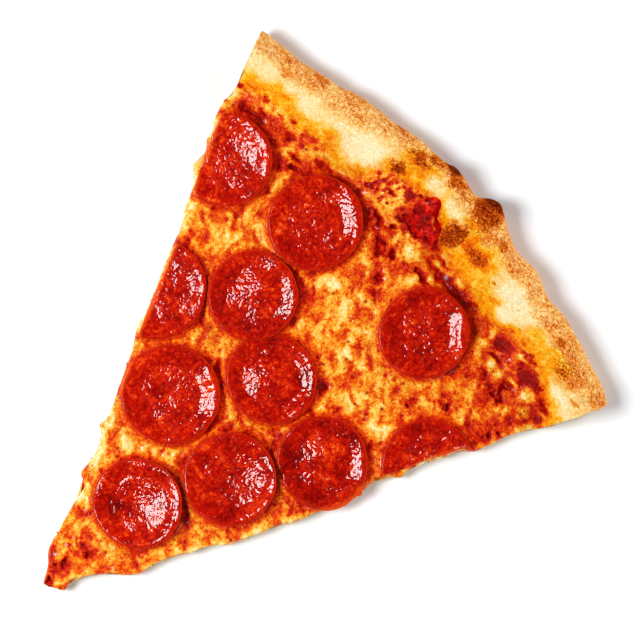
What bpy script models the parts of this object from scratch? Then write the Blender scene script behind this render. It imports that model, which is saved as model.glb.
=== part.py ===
"""Pepperoni pizza slice: a wedge of hand-stretched dough with a puffed rim, a thin layer of tomato sauce,
a layer of melted cheese and eleven cupped slices of pepperoni, four of which meet the knife cuts.

The slice lies on its flat underside. +Y runs from the tip to the rim, X runs across, +Z is up, and the
origin is under the middle of the slice. Run with: blender --background --python part.py
"""

import math

import bmesh
import bpy
import numpy as np

MM = 0.001

# Plan of the slice, seen from above. Radii are measured from the centre of the pie.
PIE_RADIUS = 228.6 * MM  # an 18 inch pie
HALF_ANGLE = math.radians(24.87)  # each knife cut, from the slice's middle line
PIE_CENTRE = (-0.4 * MM, -119.3 * MM)  # where the pie's centre lies in the slice's own frame
TIP_RADIUS = 8.4 * MM

# Heights of the layers over the flat field inside the rim.
DOUGH_TOP = 4.0 * MM
SAUCE_THICKNESS = 0.7 * MM
CHEESE_THICKNESS = 2.0 * MM
PEPPERONI_THICKNESS = 1.6 * MM
GAP = 0.3 * MM  # left between neighbouring pieces

# The rim in cross-section: an inner slope, a crest and a rounded outer side that tucks under.
RIM_FOOT_IN = 32.0 * MM  # from the outer edge in to where the inner slope starts
RIM_CREST_IN = 11.5 * MM
RIM_HEIGHT = 16.5 * MM
RIM_BELLY = 7.0 * MM  # height of the widest point of the outer side
RIM_TUCK_IN = 5.0 * MM  # how far the outer side tucks under before it meets the table

# How the knife wandered: (distance from the pie's centre, shift outwards), in millimetres.
LEFT_CUT = (
    (8, -1.5), (20, 1.2), (36, 0.0), (48, -1.8), (66, -1.7), (90, -0.6), (122, 0.0), (150, -1.0),
    (180, 0.6), (202, 1.0), (210, -1.0), (232, -2.2),
)
RIGHT_CUT = (
    (8, -4.8), (12, -2.8), (20, -4.6), (30, -2.8), (38, 0.0), (60, -0.2), (84, 1.6), (112, 2.0),
    (127, 1.4), (136, -2.4), (160, -2.8), (176, -1.8), (192, -1.4), (204, 0.3), (232, 0.2),
)
# Where melted cheese hangs past the cut dough: (distance from the centre, reach along the cut, overhang), mm.
LEFT_DRIPS = ((22, 6, 0.6), (73, 3, 1.4), (111, 4, 0.6), (178, 4, 1.8), (195, 10, 0.6))
RIGHT_DRIPS = ((41, 4, 1.2), (80, 7, 0.9), (104, 5, 0.8), (119, 7, 1.6), (180, 5, 0.9))

# The outer edge of the rim: (angle from the middle line in degrees, half-width in degrees, shift out in mm).
RIM_SWELLS = (
    (-25.0, 3.4, 5.0), (-14.0, 3.0, -1.0), (-2.0, 1.3, 0.8), (0.6, 1.0, -0.8), (3.6, 1.5, 3.2),
    (7.6, 2.0, -1.8), (13.0, 1.8, -2.4), (24.0, 4.0, 1.4),
)
# Blisters that stand out of the rim: (across, along from the pie's centre, radius, height), in millimetres.
RIM_BLISTERS = (
    (9.0, 211.0, 6.0, 3.2), (21.0, 212.0, 5.0, 1.6), (13.0, 225.0, 6.5, 2.6), (-8.0, 224.5, 4.5, 2.2),
    (-19.0, 220.5, 6.0, 1.4), (-52.0, 219.0, 9.0, 0.9), (68.0, 208.0, 9.0, 1.4), (50.0, 214.0, 7.0, -1.6),
)

# Pepperoni: (name, across and along from the pie's centre, half-widths across and along, rim rise, tilt
# across and tilt along as the rise of the rim on that side, lift), all in millimetres.
PEPPERONI = (
    ("pepperoni_01", -70.5, 168.6, 17.7, 17.8, 1.5, -0.2, -0.2, 0.1),
    ("pepperoni_02", -29.8, 176.6, 17.6, 18.2, 1.4, 0.1, 0.2, 0.1),
    ("pepperoni_03", -53.4, 116.0, 18.4, 19.0, 1.2, -0.4, 0.2, 0.1),
    ("pepperoni_04", -26.4, 140.5, 16.8, 17.0, 1.4, 1.0, -0.7, 0.4),
    ("pepperoni_05", 0.9, 123.8, 17.5, 16.6, 1.2, 0.5, -0.3, 0.1),
    ("pepperoni_06", -21.3, 92.2, 18.8, 18.4, 1.4, -0.2, 0.1, 0.1),
    ("pepperoni_07", -0.4, 54.8, 17.2, 16.5, 1.5, -0.4, -0.3, 0.1),
    ("pepperoni_08", 17.3, 86.2, 17.4, 17.2, 1.4, 0.2, 0.1, 0.1),
    ("pepperoni_09", 36.6, 115.9, 17.0, 16.8, 1.3, 0.0, 0.0, 0.2),
    ("pepperoni_10", 28.6, 177.0, 16.7, 17.3, 1.6, 0.1, 0.1, 0.1),
    ("pepperoni_11", 65.7, 143.4, 17.4, 17.6, 1.2, 0.2, 0.1, 0.1),
)
CUT_INSET = 0.4 * MM  # pepperoni stops this far short of the knife cut that went through it
CUT_WITHIN = 0.8  # the knife went through a round whose middle is nearer the cut than this share of its radius
POLE_WITHIN = 0.42  # the rings of a cut round are drawn about a point at least this share from the cut
OVERHANGING = ("pepperoni_09",)  # hangs over the cut instead of being cut by it
DROOP = 0.10  # how much an overhanging rim sinks for each unit that it reaches past the cheese

# How finely each piece is divided.
COLUMNS = 37  # radial sections from cut to cut, closest together beside the cuts
FIELD_ROWS, SLOPE_ROWS, CROWN_ROWS = 7, 11, 10
CHEESE_ROWS = 35
PEPPERONI_SIDES = 22

COLOURS = {  # base colour, roughness
    "crust": ((0.72, 0.42, 0.16), 0.75),
    "tomato_sauce": ((0.42, 0.02, 0.008), 0.30),
    "cheese": ((0.85, 0.42, 0.08), 0.45),
    "pepperoni": ((0.45, 0.03, 0.01), 0.30),
}


def smoothstep(value):
    """0 below 0, 1 above 1, and 3t^2 - 2t^3 between."""
    t = np.clip(value, 0, 1)
    return t * t * (3 - 2 * t)


def along_knots(radius, knots):
    """Eases from knot to knot of (radius, shift), both in millimetres."""
    places = np.array([k[0] for k in knots]) * MM
    shifts = np.array([k[1] for k in knots]) * MM
    index = np.clip(np.searchsorted(places, radius) - 1, 0, len(knots) - 2)
    share = smoothstep((radius - places[index]) / (places[index + 1] - places[index]))
    return shifts[index] + (shifts[index + 1] - shifts[index]) * share


def drips(radius, bumps):
    """How far melted cheese hangs past the cut, as a sum of bell-shaped bumps along it."""
    total = np.zeros_like(radius)
    for place, reach, overhang in bumps:
        total += overhang * MM * np.exp(-(((radius - place * MM) / (reach * MM)) ** 2))
    return total


def cut_angles(radius, overhang=0.0, with_drips=False):
    """The angles of the two cuts at each radius: the straight cut, its wander, and what hangs past it."""
    left = along_knots(radius, LEFT_CUT) + overhang
    right = along_knots(radius, RIGHT_CUT) + overhang
    if with_drips:
        left = left + drips(radius, LEFT_DRIPS)
        right = right + drips(radius, RIGHT_DRIPS)
    return -HALF_ANGLE - left / radius, HALF_ANGLE + right / radius


def outer_radius(angle):
    """The pie's radius with the swells and dents of its edge."""
    radius = np.full_like(angle, PIE_RADIUS - 0.6 * MM)
    for place, width, shift in RIM_SWELLS:
        radius += shift * MM * np.exp(-(((np.degrees(angle) - place) / width) ** 2))
    return radius


def plan(radius, angle):
    """Polar places about the pie's centre as X and Y of the slice's frame."""
    return PIE_CENTRE[0] + radius * np.sin(angle), PIE_CENTRE[1] + radius * np.cos(angle)


def blisters(radius, angle):
    """Height added by the rim's blisters, each a smooth dome."""
    across, along = radius * np.sin(angle), radius * np.cos(angle)
    height = np.zeros_like(radius)
    for x, y, size, rise in RIM_BLISTERS:
        distance = np.hypot(across - x * MM, along - y * MM) / (size * MM)
        height += rise * MM * (1 - smoothstep(distance))
    return height


def dough_top(radius, angle):
    """Height of the dough from the tip to the crest: a flat field, then the rim's inner slope."""
    edge = outer_radius(angle)
    slope = smoothstep((radius - edge + RIM_FOOT_IN) / (RIM_FOOT_IN - RIM_CREST_IN))
    return DOUGH_TOP + (RIM_HEIGHT - DOUGH_TOP) * slope + blisters(radius, angle) * slope**0.5


def loft(name, columns, material):
    """A closed body from a stack of closed loops of equal length: skin between them, a cap on each end."""
    mesh = bpy.data.meshes.new(name)
    bm = bmesh.new()
    loops = [[bm.verts.new(point) for point in column] for column in columns]
    count = len(loops[0])
    for near, far in zip(loops, loops[1:]):
        for i in range(count):
            j = (i + 1) % count
            bm.faces.new((near[i], far[i], far[j], near[j]))
    bm.faces.new(loops[0])
    bm.faces.new(loops[-1][::-1])
    bmesh.ops.remove_doubles(bm, verts=bm.verts, dist=1e-6)
    bmesh.ops.recalc_face_normals(bm, faces=bm.faces)
    bm.to_mesh(mesh)
    bm.free()
    return finished(name, mesh, material)


def finished(name, mesh, material):
    """Puts the mesh in the scene as one named object, shaded smooth but for its sharp edges."""
    mesh.materials.append(material)
    mesh.shade_smooth()
    mesh.set_sharp_from_angle(angle=math.radians(40))
    obj = bpy.data.objects.new(name, mesh)
    bpy.context.scene.collection.objects.link(obj)
    return obj


def stacked(radius, angle, height):
    """Points from matching arrays of radius, angle and height, one row for each point."""
    x, y = plan(radius, angle)
    return np.stack([x, y, height], axis=-1)


def column_shares():
    """Where each section lies between the left cut (0) and the right cut (1)."""
    turns = np.linspace(-1, 1, COLUMNS) * 0.65 * math.pi / 2
    return 0.5 + 0.5 * np.sin(turns) / math.sin(0.65 * math.pi / 2)


def slope_rows(share):
    """Radii of the dough's own rows up the inner slope of the rim, in one section."""
    left, right = cut_angles(np.array([PIE_RADIUS]))
    edge = outer_radius(left + (right - left) * share)[0]
    return edge - RIM_FOOT_IN + (RIM_FOOT_IN - RIM_CREST_IN) * np.linspace(0, 1, SLOPE_ROWS)


def dough(material):
    """The dough: each column is one radial section, from the tip over the rim and back along the table."""
    columns = []
    for share in column_shares():
        slope = slope_rows(share)
        edge = slope[-1] + RIM_CREST_IN
        field = TIP_RADIUS + (slope[0] - TIP_RADIUS) * np.linspace(0, 1, FIELD_ROWS) ** 1.3
        top = np.concatenate([field[:-1], slope])
        left, right = cut_angles(top)
        top_angle = left + (right - left) * share
        top_height = dough_top(top, top_angle)

        # The crown turns from the crest, over the belly, to the flat underside.
        turn = np.linspace(math.pi / 2, -math.pi / 2, CROWN_ROWS)[1:]
        crown = edge - RIM_CREST_IN + RIM_CREST_IN * np.cos(turn)
        crown[turn < 0] += (edge - RIM_TUCK_IN - crown[turn < 0]) * (-np.sin(turn[turn < 0])) ** 2
        rise = np.where(turn > 0, top_height[-1] - RIM_BELLY, RIM_BELLY)
        crown_height = np.maximum(RIM_BELLY + rise * np.sin(turn), 0)
        left, right = cut_angles(crown)
        crown_angle = left + (right - left) * share

        left, right = cut_angles(np.array([TIP_RADIUS]))
        under = stacked(np.array([TIP_RADIUS]), left + (right - left) * share, np.zeros(1))
        columns.append(
            np.concatenate(
                [stacked(top, top_angle, top_height), stacked(crown, crown_angle, crown_height), under]
            )
        )
    return loft("dough", columns, material)


def layer_edge(angle, reach):
    """Where a topping layer stops short of the rim: an uneven line that runs up the inner slope."""
    degrees = np.degrees(angle)
    wave = 1.4 * np.sin(0.62 * degrees + 0.8) + 0.9 * np.sin(1.55 * degrees + 2.0)
    notch = 4.0 * np.exp(-(((degrees - 2.4) / 1.6) ** 2))  # below the largest blister
    return (reach + wave - notch) * MM


def seat_rows(share, stop):
    """Radii for the faces between two layers: they follow the dough's rows, so that the gap stays even."""
    climb = np.minimum(slope_rows(share), stop)
    return np.concatenate([[TIP_RADIUS + 0.3 * MM, 0.5 * climb[0]], climb])


def section(rows, share, lift, overhang, with_drips=False):
    """Points of one section at a height of lift over the dough."""
    left, right = cut_angles(rows, overhang, with_drips)
    angle = left + (right - left) * share
    return stacked(rows, angle, dough_top(rows, angle) + lift)


def sauce(material):
    """Tomato sauce: a thin even layer on the dough, with a splash that climbs the rim left of the middle."""
    columns = []
    for share in column_shares():
        middle = HALF_ANGLE * (2 * share - 1)
        splash = 5.0 * MM * math.exp(-(((math.degrees(middle) + 1.8) / 1.6) ** 2))
        rows = seat_rows(share, layer_edge(middle, 205.0) + splash)
        thick = SAUCE_THICKNESS * np.where(rows < rows[-1], 1.0, 0.45)
        upper = section(rows, share, GAP + thick, -0.2 * MM)
        lower = section(rows, share, GAP, -0.2 * MM)
        columns.append(np.concatenate([upper, lower[::-1]]))
    return loft("tomato_sauce", columns, material)


def disc_shares(across, along):
    """How far each place lies from the nearest pepperoni's middle, as a share of its radius."""
    nearest = np.full_like(across, 9.0)
    for _, x, y, wide, deep, *_ in PEPPERONI:
        share = np.hypot((across - x * MM) / (wide * MM), (along - y * MM) / (deep * MM))
        nearest = np.minimum(nearest, share)
    return nearest


def cheese_relief(radius, angle):
    """Soft mounds where the cheese pooled, pressed flat under the pepperoni."""
    x, y = radius * np.sin(angle) / MM, radius * np.cos(angle) / MM
    mounds = 0.5 + 0.25 * np.sin(0.31 * x + 0.7) * np.sin(0.27 * y) + 0.25 * np.sin(0.55 * x - 0.43 * y)
    free = smoothstep((disc_shares(x * MM, y * MM) - 0.98) / 0.25)
    return 1.1 * MM * mounds * free


def cheese(material):
    """Melted cheese: a mounded layer with rounded, dripping edges at the knife cuts."""
    columns = []
    seat = SAUCE_THICKNESS + 2 * GAP
    for share in column_shares():
        stop = layer_edge(HALF_ANGLE * (2 * share - 1), 203.0)
        rows = TIP_RADIUS + 0.3 * MM + (stop - TIP_RADIUS - 0.3 * MM) * np.linspace(0, 1, CHEESE_ROWS) ** 0.9
        left, right = cut_angles(rows, 0.3 * MM, with_drips=True)
        angle = left + (right - left) * share
        end = 1 - smoothstep((rows - stop + 7 * MM) / (7 * MM))
        side = 1 - 0.45 * smoothstep((abs(2 * share - 1) - 0.9) / 0.1)
        thick = CHEESE_THICKNESS * (0.35 + 0.65 * end) * side + cheese_relief(rows, angle) * end * side
        upper = section(rows, share, seat + thick, 0.3 * MM, with_drips=True)
        lower = section(seat_rows(share, stop), share, seat, 0.3 * MM, with_drips=True)
        columns.append(np.concatenate([upper, lower[::-1]]))
    return loft("cheese", columns, material)


def cut_distance(x, y, direction_x, direction_y, pole, side):
    """How far a ray from the pole runs before it meets the cut on that side (-1 left, 1 right)."""
    normal = np.array([side * math.cos(HALF_ANGLE), -math.sin(HALF_ANGLE)])
    radius = np.hypot(x, y)
    shift = along_knots(np.array([radius]), LEFT_CUT if side < 0 else RIGHT_CUT)[0] - CUT_INSET
    space = shift - pole @ normal
    speed = direction_x * normal[0] + direction_y * normal[1]
    return np.where(speed > 1e-6, space / np.maximum(speed, 1e-6), 1.0)


def pepperoni_outline(name, x, y, wide, deep, turns):
    """The pole and the distance to the outline at each turn: an ellipse, cut straight where a knife went."""
    centre = np.array([x, y])
    inward = np.zeros(2)
    cut_sides = []
    for side in (-1, 1):
        normal = np.array([side * math.cos(HALF_ANGLE), -math.sin(HALF_ANGLE)])
        inside = -(centre @ normal)
        if inside < CUT_WITHIN * wide and name not in OVERHANGING:
            cut_sides.append(side)
            inward = -normal * max(0.0, POLE_WITHIN * wide - inside)
    pole = centre + inward
    cos, sin = np.cos(turns), np.sin(turns)
    # A ray from the pole meets the ellipse where a t^2 + 2 b t + c = 0.
    px, py = inward[0] / wide, inward[1] / deep
    a = (cos / wide) ** 2 + (sin / deep) ** 2
    b = px * cos / wide + py * sin / deep
    c = px**2 + py**2 - 1
    reach = (-b + np.sqrt(b * b - a * c)) / a
    for side in cut_sides:
        reach = np.minimum(reach, cut_distance(x, y, cos, sin, pole, side))
    return pole, reach


def pepperoni(name, x, y, wide, deep, cup, tilt_x, tilt_y, lift, material):
    """One cupped slice: rings of points from the middle of the top, round the edge, to the middle below."""
    x, y, wide, deep = x * MM, y * MM, wide * MM, deep * MM
    turns = np.linspace(0, 2 * math.pi, PEPPERONI_SIDES, endpoint=False)
    pole, reach = pepperoni_outline(name, x, y, wide, deep, turns)
    seat = DOUGH_TOP + SAUCE_THICKNESS + CHEESE_THICKNESS + 3 * GAP + lift * MM
    rings = (  # share of the outline, height through the thickness
        (0.36, 1.0), (0.70, 1.0), (0.93, 1.0), (1.0, 0.62), (0.985, 0.12), (0.72, 0.0), (0.36, 0.0),
    )

    def place(share, level):
        px = pole[0] + share * reach * np.cos(turns)
        py = pole[1] + share * reach * np.sin(turns)
        dx, dy = (px - x) / wide, (py - y) / deep
        away = np.hypot(dx, dy)
        height = seat + cup * MM * away**2.5 + (tilt_x * dx + tilt_y * dy) * MM
        over = px * math.cos(HALF_ANGLE) - py * math.sin(HALF_ANGLE)
        height -= DROOP * np.maximum(over + 2.0 * MM, 0) if name in OVERHANGING else 0
        points = np.stack([px + PIE_CENTRE[0], py + PIE_CENTRE[1], height + level * PEPPERONI_THICKNESS], -1)
        return points

    mesh = bpy.data.meshes.new(name)
    bm = bmesh.new()
    loops = [[bm.verts.new(p) for p in place(*ring)] for ring in rings]
    for near, far in zip(loops, loops[1:]):
        for i in range(PEPPERONI_SIDES):
            j = (i + 1) % PEPPERONI_SIDES
            bm.faces.new((near[i], far[i], far[j], near[j]))
    for loop, level in ((loops[0], 1.0), (loops[-1], 0.0)):
        hub = bm.verts.new(place(0.0, level)[0])
        for i in range(PEPPERONI_SIDES):
            bm.faces.new((loop[i], loop[(i + 1) % PEPPERONI_SIDES], hub))
    bmesh.ops.recalc_face_normals(bm, faces=bm.faces)
    bm.to_mesh(mesh)
    bm.free()
    return finished(name, mesh, material)


def finish(name):
    """A plain Principled material in the piece's own colour."""
    colour, roughness = COLOURS[name]
    material = bpy.data.materials.new(name)
    material.use_nodes = True
    shader = material.node_tree.nodes["Principled BSDF"]
    shader.inputs["Base Color"].default_value = (*colour, 1.0)
    shader.inputs["Roughness"].default_value = roughness
    shader.inputs["Metallic"].default_value = 0.0
    return material


def main():
    for obj in list(bpy.data.objects):
        bpy.data.objects.remove(obj)
    dough(finish("crust"))
    sauce(finish("tomato_sauce"))
    cheese(finish("cheese"))
    meat = finish("pepperoni")
    for slice_of_meat in PEPPERONI:
        pepperoni(*slice_of_meat, meat)


main()
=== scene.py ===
# %% [markdown]
# # The looks of a slice of pepperoni pizza
# The solids of the slice already exist: dough, sauce, cheese and eleven rounds of pepperoni. This script
# dresses them. Each one is replaced by a finer surface in the same place, and each surface gets a material
# that is mixed from procedural patterns. We work in millimetres about the centre of the pie, because the
# knife cuts and the rim are simple there, and turn the result into metres in the slice's own frame.

# %% Load the solids
import math

import bmesh
import bpy
import mathutils
import numpy as np
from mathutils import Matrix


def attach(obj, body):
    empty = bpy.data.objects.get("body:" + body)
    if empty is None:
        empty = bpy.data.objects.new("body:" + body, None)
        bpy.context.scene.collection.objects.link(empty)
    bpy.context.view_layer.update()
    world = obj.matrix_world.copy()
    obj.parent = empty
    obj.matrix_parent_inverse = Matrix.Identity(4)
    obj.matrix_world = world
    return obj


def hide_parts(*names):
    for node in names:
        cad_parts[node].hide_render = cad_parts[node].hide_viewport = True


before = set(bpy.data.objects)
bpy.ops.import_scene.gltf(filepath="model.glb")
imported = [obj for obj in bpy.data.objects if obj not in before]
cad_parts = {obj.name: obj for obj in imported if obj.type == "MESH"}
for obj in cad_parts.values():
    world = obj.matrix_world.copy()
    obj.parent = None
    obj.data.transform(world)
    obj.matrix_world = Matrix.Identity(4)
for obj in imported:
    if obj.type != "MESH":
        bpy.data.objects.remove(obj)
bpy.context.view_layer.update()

# %% [markdown]
# ## The plan of the slice
# A slice is a wedge, so a place is given by its distance from the pie's centre and its angle from the
# slice's middle line. The knife never runs quite straight: each cut gets a short list of knots that say how
# far it strays outwards, eased from one to the next. The solids follow the same cuts with fewer knots.

# %% Sizes of the pie, in millimetres
PIE_RADIUS = 228.6  # an 18 inch pie
HALF_ANGLE = math.radians(24.87)
PIE_CENTRE = np.array([-0.4, -119.3])
TIP_RADIUS = 8.4
RIM_FOOT_IN, RIM_CREST_IN, RIM_HEIGHT = 32.0, 11.5, 16.5
RIM_BELLY, RIM_TUCK_IN = 7.0, 5.0
ALLOWANCE = 0.6  # room left for the lumps that push the skin outwards
DOUGH_TOP, SAUCE_RISE, CHEESE_RISE = 4.0, 1.0, 3.0  # sauce and cheese are counted from the dough's top

LEFT_CUT = (
    (8, -0.6), (15, 0.3), (21, 1.8), (28, 1.4), (33, 1), (39, 0), (48, -1.7), (53, 0.6), (57, -0.2),
    (63, -1.7), (69, -1.4), (72, 0.4), (75, -1), (90, -0.3), (105, 0), (111, 0.9), (120, 0.1), (141, 0.2),
    (152, -1.2), (165, 0.2), (171, 1.2), (177, 2.6), (180, 0.8), (189, 1.6), (203, 1.8), (207, -0.9),
    (216, -1.3), (232, -2.2),
)
RIGHT_CUT = (
    (8, -4.8), (12, -2.1), (18, -4.5), (24, -3.7), (30, -2.3), (36, 0.2), (41, 1.4), (48, 0.4),
    (54, -0.1), (69, 0.8), (75, 1.8), (84, 2.5), (90, 2), (96, 1.3), (102, 2.3), (111, 2.2), (117, 2.6),
    (127, 1.9), (131, -0.8), (138, -2.7), (147, -0.5), (150, -1.8), (162, -2.7), (171, -2.2), (177, -0.6),
    (186, -1.4), (198, -1.6), (202, 0), (208, 0.3), (232, 0),
)
RIM_SWELLS = (  # angle in degrees, half-width in degrees, shift out
    (-25, 3.4, 5), (-14, 3, -1), (-9.5, 1, -0.7), (-2, 1.3, 1), (0.7, 0.8, -1.4), (3.6, 1.5, 3.2),
    (7.6, 2, -1.8), (13, 1.8, -2.2), (24, 4, 1.4),
)
RIM_BLISTERS = (  # across, along, radius, rise
    (9.5, 211, 5.6, 1.9), (22, 212.5, 5.5, 1.2), (12.5, 226, 7, 2.2), (-7.5, 225.5, 4.5, 1.8),
    (-19, 220.5, 6.5, 1.4), (-52, 219, 9, 0.9), (-66, 213, 6, 0.8), (68, 208, 9, 1.4), (50, 214, 7, -1.6),
    (33, 219, 5, 0.7), (-38, 211, 8, -0.8), (86, 206, 6, 0.8),
)


# %% Places in the plan
def smoothstep(low, high, value):
    """0 below low, 1 above high, and 3t^2 - 2t^3 between them."""
    t = np.clip((value - low) / (high - low), 0.0, 1.0)
    return t * t * (3.0 - 2.0 * t)


def along_knots(radius, knots):
    """Eases from knot to knot of (radius, shift)."""
    places, shifts = np.array(knots, float).T
    index = np.clip(np.searchsorted(places, radius) - 1, 0, len(places) - 2)
    share = smoothstep(0.0, 1.0, (radius - places[index]) / (places[index + 1] - places[index]))
    return shifts[index] + (shifts[index + 1] - shifts[index]) * share


def bells(value, bumps):
    """A sum of bell curves, height times e^(-((value - place) / width)^2)."""
    total = np.zeros_like(value)
    for place, width, height in bumps:
        total += height * np.exp(-(((value - place) / width) ** 2))
    return total


def cut_shift(radius, side):
    """How far the cut on that side (-1 left, 1 right) strays outwards, with the small waver of a knife."""
    waver = 0.28 * noise(radius, 50.0 * side + 0 * radius, 3.2, 101)
    return along_knots(radius, LEFT_CUT if side < 0 else RIGHT_CUT) + waver


def inside_cut(x, y, side):
    """How far inside the cut on that side a place lies: radius times the sine of the angle between them."""
    radius, angle = np.hypot(x, y), np.arctan2(x, y)
    return radius * np.sin(HALF_ANGLE - side * angle) + cut_shift(radius, side)


def outer_radius(angle):
    """The edge of the pie: a circle with swells and dents."""
    return PIE_RADIUS - ALLOWANCE + bells(np.degrees(angle), RIM_SWELLS)


def to_plan(radius, angle):
    """Across = radius times sine, along = radius times cosine."""
    return radius * np.sin(angle), radius * np.cos(angle)


def placed(x, y, z):
    """Millimetres about the pie's centre as metres in the slice's frame."""
    return np.stack([x + PIE_CENTRE[0], y + PIE_CENTRE[1], z + 0.0 * x], axis=-1) * 0.001


print("rim from", PIE_RADIUS - RIM_FOOT_IN, "to", PIE_RADIUS, "mm, opening", math.degrees(2 * HALF_ANGLE))

# %% [markdown]
# ## Noise
# Food has no straight lines and no two curds alike, so nearly every surface below is shaped by noise. Two
# kinds do all the work. Gradient noise rolls softly, and a sum of finer and finer copies looks like browned
# crust. Cellular noise measures the distance to the nearest of many scattered points, which gives curds,
# bubbles and wrinkles. Both take whole arrays, and a seed makes them the same on each run.


# %% Gradient noise and cells
def noise(x, y, size, seed):
    """Random slopes on a square lattice, blended with 6t^5 - 15t^4 + 10t^3: about -1 to 1."""
    turn = np.random.default_rng(seed).random((128, 128)) * 2 * math.pi
    slope_x, slope_y = np.cos(turn), np.sin(turn)
    u, v = x / size + 37.3, y / size + 11.7
    i, j = np.floor(u).astype(int), np.floor(v).astype(int)
    f, g = u - i, v - j
    ease_f = f * f * f * (f * (6 * f - 15) + 10)
    ease_g = g * g * g * (g * (6 * g - 15) + 10)

    def corner(a, b):
        k, m = (i + a) % 128, (j + b) % 128
        return slope_x[k, m] * (f - a) + slope_y[k, m] * (g - b)

    near = corner(0, 0) * (1 - ease_f) + corner(1, 0) * ease_f
    far = corner(0, 1) * (1 - ease_f) + corner(1, 1) * ease_f
    return 1.5 * (near * (1 - ease_g) + far * ease_g)


def layered(x, y, size, seed, layers=3):
    """Noise plus finer copies, each half the size and half as strong."""
    return sum(noise(x, y, size / 2**k, seed + k) / 2**k for k in range(layers)) / (2 - 0.5 ** (layers - 1))


def cells(x, y, size, seed):
    """Distance to the nearest scattered point, in cell sizes, and that point's own random number."""
    table = np.random.default_rng(seed).random((3, 64, 64))
    u, v = x / size + 21.1, y / size + 8.9
    i, j = np.floor(u).astype(int), np.floor(v).astype(int)
    nearest, own = np.full(u.shape, 9.0), np.zeros(u.shape)
    for a in (-1, 0, 1):
        for b in (-1, 0, 1):
            k, m = (i + a) % 64, (j + b) % 64
            distance = np.hypot(u - i - a - table[0, k, m], v - j - b - table[1, k, m])
            own = np.where(distance < nearest, table[2, k, m], own)
            nearest = np.minimum(nearest, distance)
    return nearest, own


def spots(x, y, places, crisp=1.5):
    """The strongest of several soft ovals (across, along, half-width, half-depth, strength) at each place."""
    strongest = np.zeros_like(x)
    for cx, cy, wide, deep, strength in places:
        away = ((x - cx) / wide) ** 2 + ((y - cy) / deep) ** 2
        strongest = np.maximum(strongest, strength * np.exp(-(away**crisp)))
    return strongest


def ragged(x, y, reach, size, seed):
    """The same places pushed about by noise, which frays the outline of whatever is drawn there."""
    return x + reach * noise(x, y, size, seed), y + reach * noise(x, y, size, seed + 1)


# %% [markdown]
# ## From grids to meshes
# Each piece is a closed skin made of grids of points. Where every side shows, the sides are grids too, and
# points that coincide along their borders are made one. Where one side is hidden, it needs no detail: it is
# a coarse grid, and many-sided faces join it to the fine one along the edges.


# %% Mesh builders
def grid_faces(index):
    """One four-sided face for each cell of a grid of point numbers."""
    return np.stack([index[:-1, :-1], index[1:, :-1], index[1:, 1:], index[:-1, 1:]], -1).reshape(-1, 4)


def skin(name, points, faces, attributes, node=None):
    """A mesh piece with float attributes that rides on the root body, in place of a solid if it has one."""
    mesh = bpy.data.meshes.new(name)
    sizes = np.array([len(face) for face in faces], np.int32)
    mesh.vertices.add(len(points))
    mesh.vertices.foreach_set("co", points.astype(np.float32).ravel())
    mesh.loops.add(int(sizes.sum()))
    mesh.loops.foreach_set("vertex_index", np.concatenate(faces).astype(np.int32))
    mesh.polygons.add(len(sizes))
    mesh.polygons.foreach_set("loop_start", np.concatenate([[0], np.cumsum(sizes)[:-1]]).astype(np.int32))
    mesh.update(calc_edges=True)
    for label, values in attributes.items():
        layer = mesh.attributes.new(label, "FLOAT", "POINT")
        layer.data.foreach_set("value", np.asarray(values, np.float32).ravel())
    bm = bmesh.new()
    bm.from_mesh(mesh)
    bmesh.ops.recalc_face_normals(bm, faces=bm.faces)
    bm.to_mesh(mesh)
    bm.free()
    mesh.polygons.foreach_set("use_smooth", np.ones(len(mesh.polygons), bool))
    obj = bpy.data.objects.new(name, mesh)
    bpy.context.scene.collection.objects.link(obj)
    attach(obj, "root")
    if node:
        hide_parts(node)
    mesh.calc_loop_triangles()
    print(name, len(mesh.loop_triangles), "triangles")
    return obj


def welded(grids):
    """Points, faces and attributes of several grids whose shared borders hold exactly equal points."""
    points = np.concatenate([grid.reshape(-1, 3) for grid, _ in grids])
    unique, index = np.unique(points, axis=0, return_inverse=True)
    index = index.reshape(-1)
    faces, start = [], 0
    for grid, _ in grids:
        count = grid.shape[0] * grid.shape[1]
        quads = grid_faces(index[start : start + count].reshape(grid.shape[:2]))
        start += count
        twin = quads == np.roll(quads, -1, axis=1)
        faces += list(quads[~twin.any(axis=1)])
        corner = twin.sum(axis=1) == 1
        faces += [quad[~same] for quad, same in zip(quads[corner], twin[corner])]
    labels = {label for _, values in grids for label in values}
    attributes = {}
    for label in labels:
        own = [np.broadcast_to(values.get(label, 0.0), grid.shape[:2]).ravel() for grid, values in grids]
        attributes[label] = np.full(len(unique), -np.inf)
        np.maximum.at(attributes[label], index, np.concatenate(own))
    return unique, faces, attributes


def lidded(top, under, step):
    """Points and faces of a fine grid closed below by a coarse one that has every step-th point's place."""
    fine = np.arange(top.shape[0] * top.shape[1]).reshape(top.shape[:2])
    coarse = fine.size + np.arange(under.shape[0] * under.shape[1]).reshape(under.shape[:2])
    faces = list(grid_faces(fine)) + list(grid_faces(coarse)[:, ::-1])
    borders = [(fine[:, side], coarse[:, side]) for side in (0, -1)]
    borders += [(fine[side], coarse[side]) for side in (0, -1)]
    for high, low in borders:
        for k in range(len(low) - 1):
            faces.append(np.concatenate([high[k * step : (k + 1) * step + 1], low[[k + 1, k]]]))
    return np.concatenate([top.reshape(-1, 3), under.reshape(-1, 3)]), faces


def lowest(values, reach):
    """The least value within reach steps of each grid point, one direction after the other."""
    for axis in (0, 1):
        pad = [(reach, reach) if k == axis else (0, 0) for k in (0, 1)]
        wide = np.pad(values, pad, mode="edge")
        values = np.lib.stride_tricks.sliding_window_view(wide, 2 * reach + 1, axis).min(axis=-1)
    return values


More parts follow.
